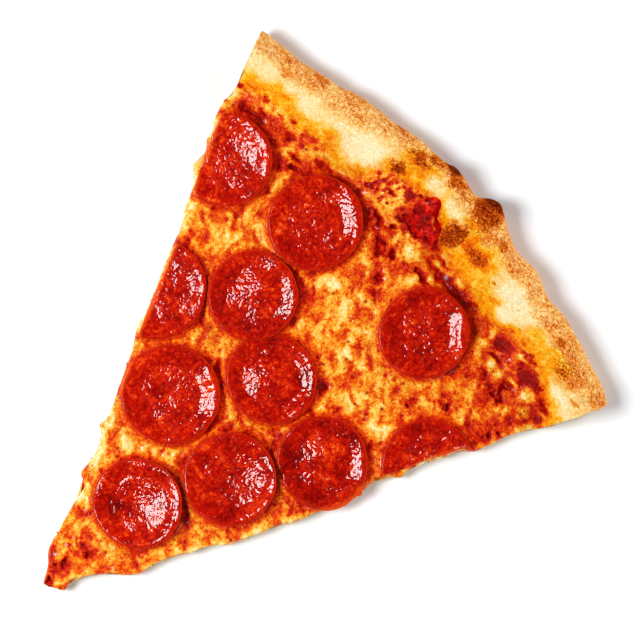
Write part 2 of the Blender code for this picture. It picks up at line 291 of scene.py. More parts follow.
def padded(values, under):
    """A fine grid's values followed by zeros for the coarse grid's points."""
    return np.concatenate([values.ravel(), np.zeros(under.shape[0] * under.shape[1])])


# %% [markdown]
# ## The dough
# The real dough is a thin sheet whose edge puffed up in the oven. A height over the plan describes all of
# it from the tip to the crest of the rim, and from there a turning angle carries the profile over the crest
# and round the outer side, while a second grid follows the table below. Lumps, blisters and the finest skin
# texture push the surface outwards. The two cut sides are grids between them, pitted like crumb.


# %% Heights of the dough
def rim_swell(x, y):
    """Blisters, each rise * (1 - smoothstep of the distance), and rolling lumps 17 and 8 mm across."""
    wx, wy = ragged(x, y, 1.0, 5.0, 300)
    total = 0.55 * noise(x, y, 17.0, 11) + 0.4 * noise(x, y, 8.0, 12)
    for cx, cy, size, rise in RIM_BLISTERS:
        total += rise * (1 - smoothstep(0.25, 1.0, np.hypot(wx - cx, wy - cy) / size))
    return total


def rim_slope(x, y):
    """0 on the flat field, 1 at the crest of the rim, a smoothstep of the distance from the edge."""
    radius, angle = np.hypot(x, y), np.arctan2(x, y)
    return smoothstep(0.0, 1.0, (radius - outer_radius(angle) + RIM_FOOT_IN) / (RIM_FOOT_IN - RIM_CREST_IN))


def dough_height(x, y):
    """The field, the inner slope of the rim, and what swells on it."""
    slope = rim_slope(x, y)
    return DOUGH_TOP + (RIM_HEIGHT - ALLOWANCE - DOUGH_TOP) * slope + rim_swell(x, y) * slope**0.6


# %% The skin of the dough
DOUGH_COLUMNS, FIELD_ROWS, SLOPE_ROWS, CROWN_ROWS, CUT_LEVELS = 361, 22, 46, 40, 12


def edge_angles(radius, share, inset=0.0):
    """The angle at each share of the way from the left cut to the right one."""
    left = -HALF_ANGLE - (cut_shift(radius, -1) - inset) / radius
    right = HALF_ANGLE + (cut_shift(radius, 1) - inset) / radius
    return left + (right - left) * share


def dough_grids():
    """Upper and lower grids of the dough, which meet along the widest line of the rim."""
    share = np.linspace(0, 1, DOUGH_COLUMNS)[:, None]
    edge = outer_radius(HALF_ANGLE * (2 * share - 1))
    field = np.linspace(0, 1, FIELD_ROWS)[:-1] ** 1.2
    inner = [TIP_RADIUS + (edge - RIM_FOOT_IN - TIP_RADIUS) * field]
    inner += [edge - RIM_FOOT_IN + (RIM_FOOT_IN - RIM_CREST_IN) * np.linspace(0, 1, SLOPE_ROWS)]
    inner = np.concatenate(inner, axis=1)
    turn = np.linspace(math.pi / 2, 0, CROWN_ROWS)[1:]
    grids = []
    for side in (1, -1):
        crown = edge - RIM_CREST_IN + RIM_CREST_IN * np.cos(turn)
        if side < 0:
            crown = crown + (edge - RIM_TUCK_IN - crown) * np.sin(turn) ** 2
        radius = np.concatenate([np.minimum(inner, crown[:, :1]), crown], axis=1)
        x, y = to_plan(radius, edge_angles(radius, share))
        lift = np.concatenate([np.full(inner.shape[1], math.pi / 2), turn])
        arc = HALF_ANGLE * (2 * share - 1) * PIE_RADIUS
        across = radius + RIM_CREST_IN * (math.pi / 2 - lift) * 0.6
        grain = 0.2 * layered(arc, side * across, 5.0, 21) + 0.09 * noise(arc, side * across, 1.8, 25)
        if side > 0:
            push = rim_swell(x, y) + grain
            crest = RIM_HEIGHT - ALLOWANCE - RIM_BELLY + push
            flat = dough_height(x, y) + grain * rim_slope(x, y)
            z = np.where(lift < math.pi / 2, RIM_BELLY + crest * np.sin(lift), flat)
        else:
            push = (rim_swell(x, y) + grain) * np.cos(lift)
            z = np.where(lift < math.pi / 2, RIM_BELLY * (1 - np.sin(lift)), np.maximum(0.0, 0.25 * grain))
        x += push * np.cos(lift) * x / radius
        y += push * np.cos(lift) * y / radius
        grids.append(placed(x, y, z))
    grids[1][:, -1] = grids[0][:, -1]
    return grids


def cut_wall(low, high, seed, outward):
    """A cut side from the lower to the upper grid's border, pitted by cells that are deepest mid-height."""
    level = np.linspace(0, 1, CUT_LEVELS)[None, :, None]
    wall = low[:, None] + (high - low)[:, None] * level
    along = np.hypot(wall[..., 0], wall[..., 1]) * 1000
    height = wall[..., 2] * 1000
    distance, own = cells(along, height * 1.4, 2.6, seed)
    pits = 0.8 * (1 - smoothstep(0.15, 0.6, distance)) * (own > 0.45)
    pits += 0.25 * noise(along, height, 1.8, seed + 3)
    room = smoothstep(0.0, 2.5, (high - low)[:, None, 2] * 1000) * np.sin(math.pi * level[..., 0]) ** 0.6
    wall[..., 0] -= outward * math.cos(HALF_ANGLE) * pits * room * 0.001
    wall[..., 1] += math.sin(HALF_ANGLE) * pits * room * 0.001
    wall[:, 0], wall[:, -1] = low, high
    return wall


upper, lower = dough_grids()
tip_low, tip_high = lower[:, 0][:, None], upper[:, 0][:, None]
tip_wall = tip_low + (tip_high - tip_low) * np.linspace(0, 1, CUT_LEVELS)[:, None]
tip_wall[:, 0], tip_wall[:, -1] = lower[:, 0], upper[:, 0]
left_wall = cut_wall(lower[0], upper[0], 41, -1)
right_wall = cut_wall(lower[-1], upper[-1], 42, 1)
tip_wall[0], tip_wall[-1] = left_wall[0], right_wall[0]
dough_parts = [(upper, {}), (lower, {})]
dough_parts += [(wall, {"crumb": 1.0}) for wall in (left_wall, right_wall, tip_wall)]
dough_points, dough_faces, dough_masks = welded(dough_parts)
print("dough points:", len(dough_points))

# %% [markdown]
# ## The rounds of pepperoni, as a list
# The cheese has to know where the pepperoni lies before it is made: it is pressed flat below and wells up
# round the edges. So the rounds come first as a table of names, places and sizes. The cup is how far the
# rim curls up, the dome is a bulge in the middle, and the lean tips the round as it cooled.

# %% The table of rounds
ROUNDS = {
    # name: (across, along, half-width, half-depth, cup, dome, lean across, lean along)
    "pepperoni_01": (-70.5, 168.6, 17.7, 17.8, 1.6, -0.8, 0.9, 0.9),
    "pepperoni_02": (-29.8, 176.6, 17.8, 18.4, 2.0, 0.4, 0.3, 0.4),
    "pepperoni_03": (-53.4, 116.0, 18.6, 19.2, 1.8, 0.3, -0.3, 0.3),
    "pepperoni_04": (-26.4, 140.5, 16.9, 17.2, 1.8, 2.3, 0.6, -0.3),
    "pepperoni_05": (0.9, 123.8, 17.6, 16.8, 1.7, 1.9, 0.5, 0.0),
    "pepperoni_06": (-21.3, 92.2, 19.0, 18.6, 1.9, 0.2, -0.2, 0.1),
    "pepperoni_07": (-0.4, 54.8, 17.3, 16.7, 1.6, -1.3, 1.5, 1.2),
    "pepperoni_08": (17.3, 86.2, 17.6, 17.6, 1.8, -1.5, 0.8, 0.6),
    "pepperoni_09": (36.6, 115.9, 17.0, 17.2, 1.8, 1.9, 0.0, 0.0),
    "pepperoni_10": (28.6, 177.0, 16.9, 17.5, 2.0, 0.5, 0.4, 0.3),
    "pepperoni_11": (65.7, 143.4, 17.6, 17.8, 1.5, 0.2, 0.3, 0.2),
}


def nearest_round(x, y):
    """Distance to the nearest round's middle, as a share of its radius, and the direction from there."""
    nearest, toward = np.full(x.shape, 9.0), np.zeros(x.shape)
    for cx, cy, wide, deep, *_ in ROUNDS.values():
        share = np.hypot((x - cx) / wide, (y - cy) / deep)
        toward = np.where(share < nearest, np.arctan2(y - cy, x - cx), toward)
        nearest = np.minimum(nearest, share)
    return nearest, toward


print("rounds of pepperoni:", len(ROUNDS))

# %% How far the topping reaches
CHEESE_ENDS = (  # angle in degrees, distance from the pie's centre
    (-26, 213), (-22, 211.5), (-19, 209), (-16, 206.5), (-13.5, 206.5), (-11.5, 200), (-9.6, 202),
    (-8, 209), (-5, 213.5), (-3, 213), (-1, 216), (1, 210), (2.4, 205), (5, 204), (8, 203), (11, 202.5),
    (12.4, 200.5), (14, 206), (17, 210), (19.5, 209), (22, 207), (26, 204),
)


def cheese_reach(angle):
    """The distance from the pie's centre at which the cheese ends, by angle."""
    return along_knots(np.degrees(angle), CHEESE_ENDS)


def cheese_left(x, y):
    """How much cheese is left between a place and the rim: its reach less the distance from the centre."""
    return cheese_reach(np.arctan2(x, y)) - np.hypot(x, y)


# %% [markdown]
# ## Sauce and cheese
# In the oven the cheese melts into a field of pale curds in orange oil, and where it is thin the red sauce
# shows. One number describes that mixture at each place: its warmth, from 0 for cream-coloured curd over
# yellow and orange to 1 for dark red sauce. Warm places lie lower and curds stand up, so the same number
# also shapes the surface. Round each round of pepperoni the number is raised further on the side away from
# the key light, so the cheese there is painted redder and darker: painted shadow.

# %% Warmth of the topping
SHADE_SIDE = math.radians(46.0)  # the side of each round away from the key light, where its rim casts shadow; the cheese there is painted redder and darker (painted shadow) and the round's edge wall brighter (painted light)
PLAIN, RING, CONTACT = 0.59, 0.64, 0.72  # warmth of open cheese, round each round, and right at its edge
RING_SHARE, CONTACT_SHARE = 1.03, 1.02  # where those rings lie, as shares of a round's radius
LEFT_PALER, RIGHT_PALER = 0.30, 0.14  # how much paler the cheese is painted along each cut, as painted light: most along the left cut, which faces the key light
WARM = (  # where sauce and oil took over
    (64, 184, 25, 18, 0.82), (66, 191, 17, 7, 0.86), (52, 196, 9, 6, 0.86), (70, 193, 16, 5.5, 0.97),
    (48, 197, 13, 5.5, 0.84), (54, 166, 11, 9, 0.7), (78, 184, 6, 9, 0.78), (71, 199.5, 5, 2.6, 0.72),
    (72, 173, 10, 11, 0.8), (-1, 203.5, 12, 5.6, 1.3), (-3.8, 209.5, 6.4, 7, 1.25),
    (-12.5, 209.5, 3.4, 2.6, 1), (-25, 201.5, 2.4, 1.4, 0.94), (-20, 204, 1.8, 1.5, 0.86),
    (-24.5, 213, 2.6, 2, 0.78), (-28, 208, 1.5, 1, 0.84), (-27, 196, 7.5, 2.4, 1),
    (-14, 194.5, 9, 2, 0.96), (4, 192, 14, 9, 0.64), (22, 196.5, 17, 3.2, 1), (12, 191.5, 8, 2, 1),
    (-6, 197.8, 4, 2.2, 0.96), (-5, 186, 8, 10, 0.72), (-11.5, 173, 3, 5, 0.72), (8, 176, 7, 9, 0.66),
    (3, 198, 8, 4, 0.6), (-48, 188, 7, 7.5, 0.86), (-44, 195, 7, 3.2, 0.86), (-55, 184, 5, 5, 0.88),
    (-68, 192, 18, 4, 0.62), (-74, 187.5, 12, 2.4, 0.94), (-60, 192, 3.2, 1.8, 0.9),
    (-77, 195.5, 2.6, 1.4, 0.88), (-68, 198, 2, 1.4, 0.84), (-52, 198, 2.4, 1.6, 0.8),
    (-11.5, 28, 5, 6, 0.8), (-86.5, 184, 2.4, 2.4, 0.92), (-53, 157, 2.8, 2.2, 0.82),
    (-52, 172, 3, 9, 0.62), (42, 160, 8, 6, 0.56), (47, 176, 4, 12, 0.62), (10, 141, 2.4, 1.6, 0.8),
    (24, 145, 3.2, 2.6, 0.66), (30.5, 140.5, 1.8, 1.4, 0.8), (37, 140.5, 1.8, 1.4, 0.78),
    (20, 128, 3, 6, 0.6), (19, 105, 8, 5, 0.66), (40, 96, 8, 8, 0.56), (36, 78, 5, 7, 0.6),
    (24, 60, 5, 9, 0.56), (0, 72.5, 10, 2.2, 0.72), (-7, 107, 3, 8, 0.66), (-8, 146, 2.5, 7, 0.72),
    (-38, 134, 3, 6, 0.7), (-3.5, 24.5, 5, 2.6, 0.76), (3, 22.5, 4, 5, 0.82), (-1.5, 17.5, 5, 6, 0.94),
    (17, 37.5, 4, 3.6, 0.74), (-2.2, 9.5, 3.4, 3.6, 1), (3, 14, 3, 4, 0.76), (63, 200.5, 2, 1.4, 0.98),
    (51, 201.5, 2, 1.2, 0.98), (-36, 104, 3, 5, 0.6), (-20, 46, 3, 3, 0.6), (-24, 54, 2.6, 2.6, 0.62),
    (17, 202, 8, 3, 0.68), (30, 101.5, 5, 6, 0.9),
)
POOLS = (  # small clear pools of sauce
    (-60, 192.3, 3.2, 1.5, 0.93), (-76, 195.6, 2, 0.9, 0.86), (-63, 197, 1.4, 0.9, 0.8),
    (-68, 195.3, 1.4, 0.7, 0.78), (-57, 196, 1.2, 0.8, 0.82), (-49.5, 196.5, 1.2, 1, 0.8),
    (-54, 193, 1.6, 0.9, 0.9), (-44.5, 193, 3.4, 2.4, 0.88), (-52, 188, 4.5, 1.4, 0.92),
    (-51, 185, 2.5, 1.5, 0.96), (-73, 191, 3.5, 0.8, 0.88), (-66, 190.6, 4, 0.6, 0.84),
    (-87, 192, 1.8, 1.2, 0.88), (-82, 192, 3, 0.5, 0.8), (-74, 187, 2.4, 1, 0.94),
    (-24.5, 201.2, 1.8, 1.1, 0.92), (-20.5, 204, 1.3, 1.2, 0.84), (-25, 205, 1.3, 0.8, 0.82),
    (-12.5, 209.5, 2.2, 1.9, 1), (-9, 211.8, 1.2, 1, 0.97), (-26.5, 208.5, 1.2, 0.9, 0.8),
    (-26.5, 196, 2.8, 1.6, 1), (-13, 195.2, 1.8, 1.2, 0.98), (-8.5, 196.5, 2, 1, 0.98),
    (12, 191.5, 2.8, 0.9, 0.95), (16, 197, 1.3, 1.3, 0.9), (24, 196, 5, 1.2, 1),
    (34, 197.5, 4, 1.9, 0.93), (51, 202, 2, 1.1, 0.96), (57, 201.5, 2, 1.2, 0.93),
    (63, 200, 1, 1.8, 0.98), (56, 181.5, 3, 1.4, 0.88), (65, 185.5, 3, 2, 0.93),
    (71, 193.5, 8, 1.9, 0.96), (78, 190.5, 2.8, 1.2, 1), (54, 190, 5.5, 1.1, 0.94),
    (82, 185.5, 2.4, 1.8, 0.94), (80.5, 189.5, 5, 2.2, 0.9), (63, 199, 6, 1.6, 0.86),
    (74.5, 177.5, 2.5, 2.5, 0.88), (61, 178.5, 2, 1.5, 0.85), (14, 205, 1.2, 0.7, 0.8),
    (12, 201, 2, 0.6, 0.85), (-53, 157, 1.6, 1, 0.9), (10, 141.5, 1.3, 1, 0.85),
    (-87, 184.5, 1.4, 0.9, 0.92), (54, 163, 2, 1.2, 0.86),
)
BLISTERED = (-19.5, 206.0, 9.5, 6.5)  # where the cheese is peppered with small red blisters
BLISTERS = 54
LUMPS = (  # single lumps of pale curd in the red
    (46.5, 196.7, 2.2, 1.3, 0.5), (65, 188.3, 2.4, 1.4, 0.36), (72.5, 187, 2.8, 1.9, 0.34),
    (58.5, 190.6, 2.4, 1, 0.32), (54.5, 187.6, 3, 1.2, 0.38), (52.5, 185, 1.4, 2, 0.32),
    (79.5, 189, 2.8, 1, 0.34), (24.5, 199, 2, 1.2, 0.3), (54, 186, 3, 2.2, 0.36),
    (73.2, 188.6, 3.4, 2.2, 0.36), (60.5, 196.6, 2.6, 1.6, 0.34), (44.9, 189.2, 3.2, 2.6, 0.34),
    (67, 183, 2.2, 1.6, 0.32), (60, 186, 1.8, 1.4, 0.3), (77, 183, 2, 2.6, 0.32), (-1, 199, 3, 1.4, 0.4),
    (63.5, 197.5, 2, 1.2, 0.34), (70, 179, 2.4, 2, 0.3), (-57.5, 187, 2.4, 1.6, 0.4),
    (3, 196, 2.4, 2.4, 0.35), (14, 199, 2.4, 1.6, 0.25),
)
SHRED_WAY = math.radians(134.0)  # the way most shreds of cheese lie, from +X
CREAMY = (  # where pale curd or yellow oil lies
    (8, 156, 7, 4, 1), (6, 147.5, 7, 3.5, 0.9), (16, 152, 7, 3.5, 0.8), (30, 152, 7, 5, 0.9),
    (33, 143.5, 9, 3.2, 1), (12, 142, 4, 2.2, 0.6), (44, 139, 5, 4, 0.8), (22, 138, 7, 3, 0.8),
    (-6, 160, 9, 6, 0.9), (5, 166, 8, 5, 0.6), (-50, 146, 9, 8, 0.7), (-46, 166, 5, 12, 0.6),
    (-60, 148, 5, 6, 0.6), (-25, 116, 11, 6, 0.7), (-14, 106, 5, 4, 0.4), (-9, 76, 8, 4, 0.8),
    (-24, 68, 7, 8, 0.7), (-24, 58, 5, 6, 0.6), (-18, 44, 4, 8, 0.4), (-9, 35, 6, 3.2, 0.7),
    (4, 35.5, 6, 3.2, 0.6), (22, 66, 6, 4, 0.5), (37, 83, 3, 3, 0.6), (58, 188, 4, 2.6, 0.5),
    (57, 175, 6, 4, 0.6), (70, 185, 3.5, 3, 0.5), (47, 197.5, 2.6, 2, 0.8), (31, 205.5, 10, 2.6, 0.6),
    (-50, 200, 10, 3, 0.5), (36, 165, 7, 3, 0.4), (12, 132, 3, 4, 0.5), (-8, 33, 3, 1.6, 0.5),
    (-72, 197, 12, 2.6, 0.4), (44, 108, 4, 6, 0.4), (-40, 150, 6, 5, 0.5), (-2, 102, 4, 5.5, 1),
    (-4.5, 78.5, 4, 3, 1), (-11, 72.5, 4, 3, 1), (-16.5, 119, 3, 4, 0.7), (-23, 112.5, 3, 2.5, 0.6),
    (19.5, 161, 6, 4, 0.9), (48, 157, 3.5, 3, 0.9), (57.5, 170, 4.5, 3.4, 0.9), (-9, 161.5, 8, 6.5, 1.5),
    (3.5, 190.5, 3.4, 3, 0.7), (-20, 205, 9, 5, 0.8),
)


def shreds(x, y, seed):
    """Lumps and strings of curd that lie mostly one way: noise that is stretched along that way."""
    along = x * math.cos(SHRED_WAY) + y * math.sin(SHRED_WAY)
    across = y * math.cos(SHRED_WAY) - x * math.sin(SHRED_WAY)
    coarse = 1 - 2.2 * np.abs(noise(across, along / 1.6, 6.0, seed))
    lumps = noise(across, along / 1.9, 3.8, seed + 1) + 0.6 * noise(across, along / 1.5, 1.9, seed + 3)
    return 0.3 * coarse + 0.75 * lumps + 0.6 * noise(x, y, 10.0, seed + 2) - 0.02


def bubbles(x, y):
    """0 to 1 up the side of each small bubble: a few of the cells, each with a round top."""
    distance, own = cells(*ragged(x, y, 0.6, 2.0, 707), 6.0, 706)
    return (own > 0.72) * (1 - smoothstep(0.04, 0.36, distance))


def pepper():
    """Small red ovals at random inside the blistered place, denser towards its middle."""
    rng = np.random.default_rng(619)
    cx, cy, wide, deep = BLISTERED
    turn, reach = rng.uniform(0, 2 * math.pi, BLISTERS), rng.uniform(0.05, 1.0, BLISTERS) ** 0.7
    size, shape = rng.uniform(0.5, 1.15, BLISTERS), rng.uniform(0.7, 1.3, BLISTERS)
    place = cx + wide * reach * np.cos(turn), cy + deep * reach * np.sin(turn)
    return np.stack([*place, size * shape, size / shape, rng.uniform(0.80, 0.97, BLISTERS)], -1).tolist()


def warmth(x, y):
    """0 cream, 0.25 yellow, 0.5 orange, 0.75 red, 1 dark red: broad ovals, curds, finer mottling, painted
    shadow by the rounds and painted light along the cuts.
    """
    wx, wy = ragged(x, y, 1.8, 7.0, 601)
    wx, wy = ragged(wx, wy, 0.5, 2.0, 603)
    warm, creamy = spots(wx, wy, WARM), spots(wx, wy, CREAMY)
    broad = PLAIN + (warm - PLAIN) * smoothstep(0.12, 0.75, warm) - 0.27 * creamy
    share, toward = nearest_round(x, y)
    # painted shadow: round each round the cheese is made warmer, so redder and darker, on the side away from
    # the key light
    shaded = np.clip(np.cos(toward - SHADE_SIDE), 0.0, 1.0)
    ring = RING + 0.16 * noise(x, y, 9.0, 613) + 0.24 * shaded
    ring -= (4.6 - 3.3 * shaded) * np.abs(share - RING_SHARE)
    broad = np.maximum(broad, ring)
    depth = 1 - 0.45 * smoothstep(0.85, 1.05, broad)
    depth *= 0.65 + 0.35 * smoothstep(4.0, 16.0, cheese_left(x, y))
    bubble = bubbles(x, y)
    mottle = 0.40 * shreds(wx, wy, 605) + 0.17 * layered(x, y, 1.5, 609, 2) + (0.34 - 0.5 * bubble) * bubble
    # painted light: the cheese is made paler along both cuts, most along the left cut, which faces the key
    # light
    left_cut = smoothstep(4.0, 0.8, inside_cut(x, y, -1)) * (LEFT_PALER + 0.06 * smoothstep(50.0, 90.0, y))
    right_cut = smoothstep(2.6, 0.6, inside_cut(x, y, 1)) * RIGHT_PALER
    cut = (left_cut + right_cut) * smoothstep(10.0, 60.0, y)
    mixture = broad - depth * mottle - spots(wx, wy, LUMPS, 2.0) - cut
    # painted shadow again: right at a round's edge the cheese is redder on the side away from the key light
    contact = CONTACT + 0.09 * np.cos(toward - SHADE_SIDE) + 0.08 * noise(x, y, 4.0, 617)
    mixture = np.maximum(mixture, contact - (4.0 - 1.8 * shaded) * np.abs(share - CONTACT_SHARE))
    mixture = np.maximum(mixture, spots(*ragged(x, y, 0.7, 2.0, 615), POOLS, 2.5))
    return np.clip(np.maximum(mixture, spots(*ragged(x, y, 0.3, 1.5, 621), pepper(), 2.0)), 0.0, 1.0)


# %% [markdown]
# ## Where the crust is pale, toasted or charred
# A material can't know that the crest of the rim faced the fire or that oil crept up from the cheese. So
# each point of the skin carries a few numbers: how toasted it is, how much oil has soaked in, and whether
# it was cut. Toast runs from 0, cream, over 0.5, tan, to 1, charcoal. They come from soft ovals at named
# places, frayed by noise, and the material turns them into colour.

# %% Masks of the dough
TOASTED = (  # across, along, half-width, half-depth, strength
    (8.6, 208.6, 4.4, 4.6, 0.8), (11, 214, 4.2, 3.4, 0.74), (14, 221, 5.5, 3.6, 0.66),
    (21, 210.6, 7, 3, 0.76), (11.5, 218, 4.4, 3, 0.54), (12.5, 225, 9.5, 7, 0.72),
    (12, 226.5, 6.5, 5, 0.84), (12, 229.6, 7, 2.2, 0.95), (-7.5, 228, 5.5, 3, 0.95),
    (-3.5, 226, 7, 3.4, 0.7), (-1, 223.5, 8, 3, 0.54), (20.5, 211.8, 11, 5, 0.46),
    (18.5, 210.8, 5, 1.9, 0.7), (25, 213.2, 2.4, 1.6, 0.74), (22, 212.5, 5, 2.8, 0.62),
    (18.5, 219.5, 8, 6, 0.52), (-19, 219.5, 9.5, 8, 0.46), (-20, 221.8, 7, 3.8, 0.74),
    (-23.3, 212.9, 4.6, 3.2, 0.8), (-14, 225.3, 7, 2.6, 0.68), (-67, 215, 5, 2.8, 0.62),
    (-78, 208.3, 4.4, 3, 0.52), (-81, 212.4, 5.5, 2, 0.56), (-47, 216, 6, 4, 0.48),
    (-57, 217.5, 5, 3.6, 0.46), (34, 219, 8, 4, 0.54), (26, 221.5, 5.5, 3, 0.66),
    (70, 210.5, 9, 4.4, 0.58), (67, 211.5, 3.4, 2.2, 0.7), (77, 206, 11, 6.4, 0.58),
    (75, 203.8, 4.6, 2.4, 0.68), (82, 207.5, 5, 3, 0.54), (87, 199, 2.6, 1.1, 0.5), (92, 206, 4, 5, 0.56),
    (-32, 224, 7, 3, 0.6), (34.5, 209, 1.3, 0.7, 0.9), (60, 214.5, 6, 3, 0.5),
)
SEARED = (  # blisters with a sharp outline
    (9.8, 210.2, 5.7, 6.6, 0.75), (12.8, 225.6, 7.8, 5.2, 0.76), (-8, 227.6, 4.2, 2.2, 0.86),
)
PALE = (  # where flour kept the crust pale
    (-38, 209.5, 12, 8, 1), (-66, 205.5, 14, 4, 0.6), (46, 211, 10, 8, 1), (3, 218.5, 6.5, 5, 0.8),
    (-8, 218.5, 7, 4, 0.8), (80, 197.5, 6.5, 3.2, 1), (86, 194, 4, 3, 0.4), (28, 221.5, 6, 3, 0.3),
    (44.5, 204.5, 3.4, 4, 1), (-90.5, 206, 4.5, 6, 0.6), (-84, 203, 6, 4, 0.5),
)
OILED = (  # where oil soaked in
    (27, 205.5, 14, 4.4, 1), (24, 215, 10, 4, 0.5), (13, 203, 9, 4, 1), (68, 205, 9, 4, 1),
    (58, 206.5, 9, 3.4, 0.7), (-20, 210, 10, 7, 1), (-47, 203.5, 7, 3.8, 1), (-72, 202, 9, 3.5, 0.8),
    (-60, 206, 7, 3, 0.4), (0, 223, 8, 3, 0.3), (86.5, 190, 4, 3, 0.9), (37, 204, 4, 3.2, 0.9),
    (-33, 203, 5, 3, 0.9), (20.5, 211.5, 12, 6, 1), (-17, 220, 9, 5.5, 1), (12, 219, 6, 3, 0.8),
)
AMBER = (  # where the oil was darkest
    (-48.5, 203, 5, 2.6, 0.52), (-33, 201, 4, 2.2, 0.56), (-72, 201, 4, 2, 0.48), (38, 204, 3.4, 2, 0.56),
    (75, 202, 8, 2.8, 0.54), (17, 207.5, 5, 1.4, 0.5), (-20, 212, 9, 6, 0.48), (57, 203, 8, 1.6, 0.52),
    (20.5, 211.5, 11, 5.5, 0.64), (-17, 220, 8, 5, 0.6), (12, 219, 6, 3, 0.6),
)


def dough_colours(points, masks):
    """Adds toast and oil to the masks of points that are given in metres in the slice's frame."""
    x, y = (points[:, :2] * 1000 - PIE_CENTRE).T
    z = points[:, 2] * 1000
    inside = outer_radius(np.arctan2(x, y)) - np.hypot(x, y)
    wx, wy = ragged(x, y, 2.2, 5.0, 501)
    outer = 1 - smoothstep(4.0, 12.5, inside + 2.5 * noise(x, y, 12.0, 503))
    below = 1 - smoothstep(2.0, 8.0, z + 1.5 * noise(x, y, 9.0, 504))
    toast = 0.20 + 0.24 * outer + 0.12 * layered(x, y, 9.0, 505) + 0.12 * layered(x + 3 * z, y, 2.6, 508)
    toast -= 0.20 * spots(wx, wy, PALE) * (1 - 0.7 * outer)
    frayed = ragged(*ragged(x, y, 1.2, 6.0, 523), 0.6, 2.0, 521)
    toast = np.maximum(toast, np.maximum(spots(*frayed, TOASTED, 1.8), spots(*frayed, SEARED, 4.0)))
    toast = np.maximum(toast, below * (0.52 + 0.25 * layered(x, y, 16.0, 511)))
    past = 2.5 * layered(x, y, 7.0, 513) - cheese_left(x, y)
    patches = 0.34 * smoothstep(-0.1, 0.7, layered(x, y, 11.0, 515)) * (1 - outer)
    oil = np.maximum(1 - smoothstep(0.5, 9.0, past), spots(wx, wy, OILED))
    oil = np.maximum(oil, patches) * (1 - below) * (1 - 0.85 * spots(wx, wy, PALE))
    masks["toast"] = np.clip(toast, 0.0, 1.0)
    warm = 0.26 + (warmth(x, y) - 0.26) * (1 - 0.9 * smoothstep(-1.5, 4.5, past))
    masks["warm"] = np.maximum(warm, spots(wx, wy, AMBER))
    masks["oil"] = np.clip(oil, 0.0, 1.0)
    masks["skin"] = outer
    return masks


dough_masks = dough_colours(dough_points, dough_masks)
dough_piece = skin("baked_dough", dough_points, dough_faces, dough_masks, "dough")

# %% [markdown]
# The cheese ends on the inner slope of the rim in a frayed line. There its thickness falls below nothing,
# so that its surface dips into the dough and the line draws itself. In the same way it dips into the sauce
# where the topping is darkest, and the sauce lies open.

# %% Heights of the topping
LEVEL_WARMTH = 0.55  # cooler cheese stands above the plain level, warmer cheese below it
WELLING = 1.7  # how far the cheese wells up at the edge of a round


def sauce_reach(angle):
    """The distance from the pie's centre at which the sauce ends: short of the cheese but for one lick."""
    return cheese_reach(angle) - 4.5 + bells(np.degrees(angle), ((-1.0, 1.8, 4.5), (1.4, 1.4, 4.0)))


def cheese_thickness(x, y, warm):
    """How far the cheese stands over the dough: thick curds, thin where warm, gone past its reach."""
    share, _ = nearest_round(x, y)
    free = smoothstep(0.97, 1.12, share)
    curds = 0.9 * (LEVEL_WARMTH - warm) + 0.35 * layered(x, y, 11.0, 701) + 0.12 * noise(x, y, 1.3, 705)
    curds += 0.6 * bubbles(x, y)
    welling = WELLING * np.exp(-((np.maximum(share - 1.0, 0.0) / 0.075) ** 2)) * smoothstep(0.93, 0.99, share)
    thick = CHEESE_RISE + free * curds + welling * (share < 1.3)
    under_way = sauce_reach(np.arctan2(x, y)) - np.hypot(x, y)
    open_sauce = smoothstep(0.86, 0.96, warm) * smoothstep(1.08, 1.25, share)
    open_sauce *= smoothstep(0.5, 3.0, under_way)
    thick += (SAUCE_RISE - 0.45 - thick) * open_sauce
    wx, wy = ragged(x, y, 1.3, 3.0, 711)
    wx, wy = ragged(wx, wy, 1.6, 7.0, 713)
    return -0.6 + (thick + 0.6) * smoothstep(-1.5, 12.0, cheese_left(wx, wy)) ** 0.8


def sauce_thickness(x, y, warm):
    """How far the sauce stands over the dough: an even wet layer, as thick below warm cheese as elsewhere."""
    wx, wy = ragged(x, y, 1.0, 4.0, 721)
    reach = sauce_reach(np.arctan2(x, y))
    ripples = 0.16 * layered(x, y, 3.2, 723) + 0.10 * noise(x, y, 1.1, 727)
    return -0.5 + (SAUCE_RISE + 0.5 + ripples) * smoothstep(-0.5, 3.0, reach - np.hypot(wx, wy)) ** 0.6


# %% The grid of a topping
BROWNED = (  # where the cheese blistered and browned in dots
    (-19, 206.5, 10.5, 8.5, 1.4), (-53, 193, 5, 3, 0.6), (8, 150, 30, 20, 0.1), (-18, 60, 14, 24, 0.15),
    (10, 24, 14, 14, 0.25),
)
TOPPING_START = TIP_RADIUS + 0.2
DRIP_DEPTH, DRIP_OUT = 2.4, 1.1  # how far down and out a full drip goes
ROLL = 7  # rows of points that carry a topping's edge over the cut
STEP = 10  # the hidden side has one point for this many of the visible side
LEFT_DRIPS = (  # distance from the pie's centre, half-width, how far the edge hangs
    (23, 3, 0.8), (54, 3, 0.8), (67, 2.5, 0.7), (73, 2.5, 1), (111, 3, 0.6), (148, 4, 0.7), (160, 5, 1),
    (178, 4, 1), (187, 3, 0.7), (195, 6, 0.5),
)
RIGHT_DRIPS = (
    (13, 2, 0.8), (29, 2, 0.5), (40, 5, 1), (62, 4, 0.5), (78, 4, 0.9), (90, 5, 0.5), (104, 5, 0.8),
    (131, 4, 1), (147, 3, 0.8), (163, 4, 0.9), (176, 4, 0.6), (184, 4, 0.8), (196, 5, 0.5),
)


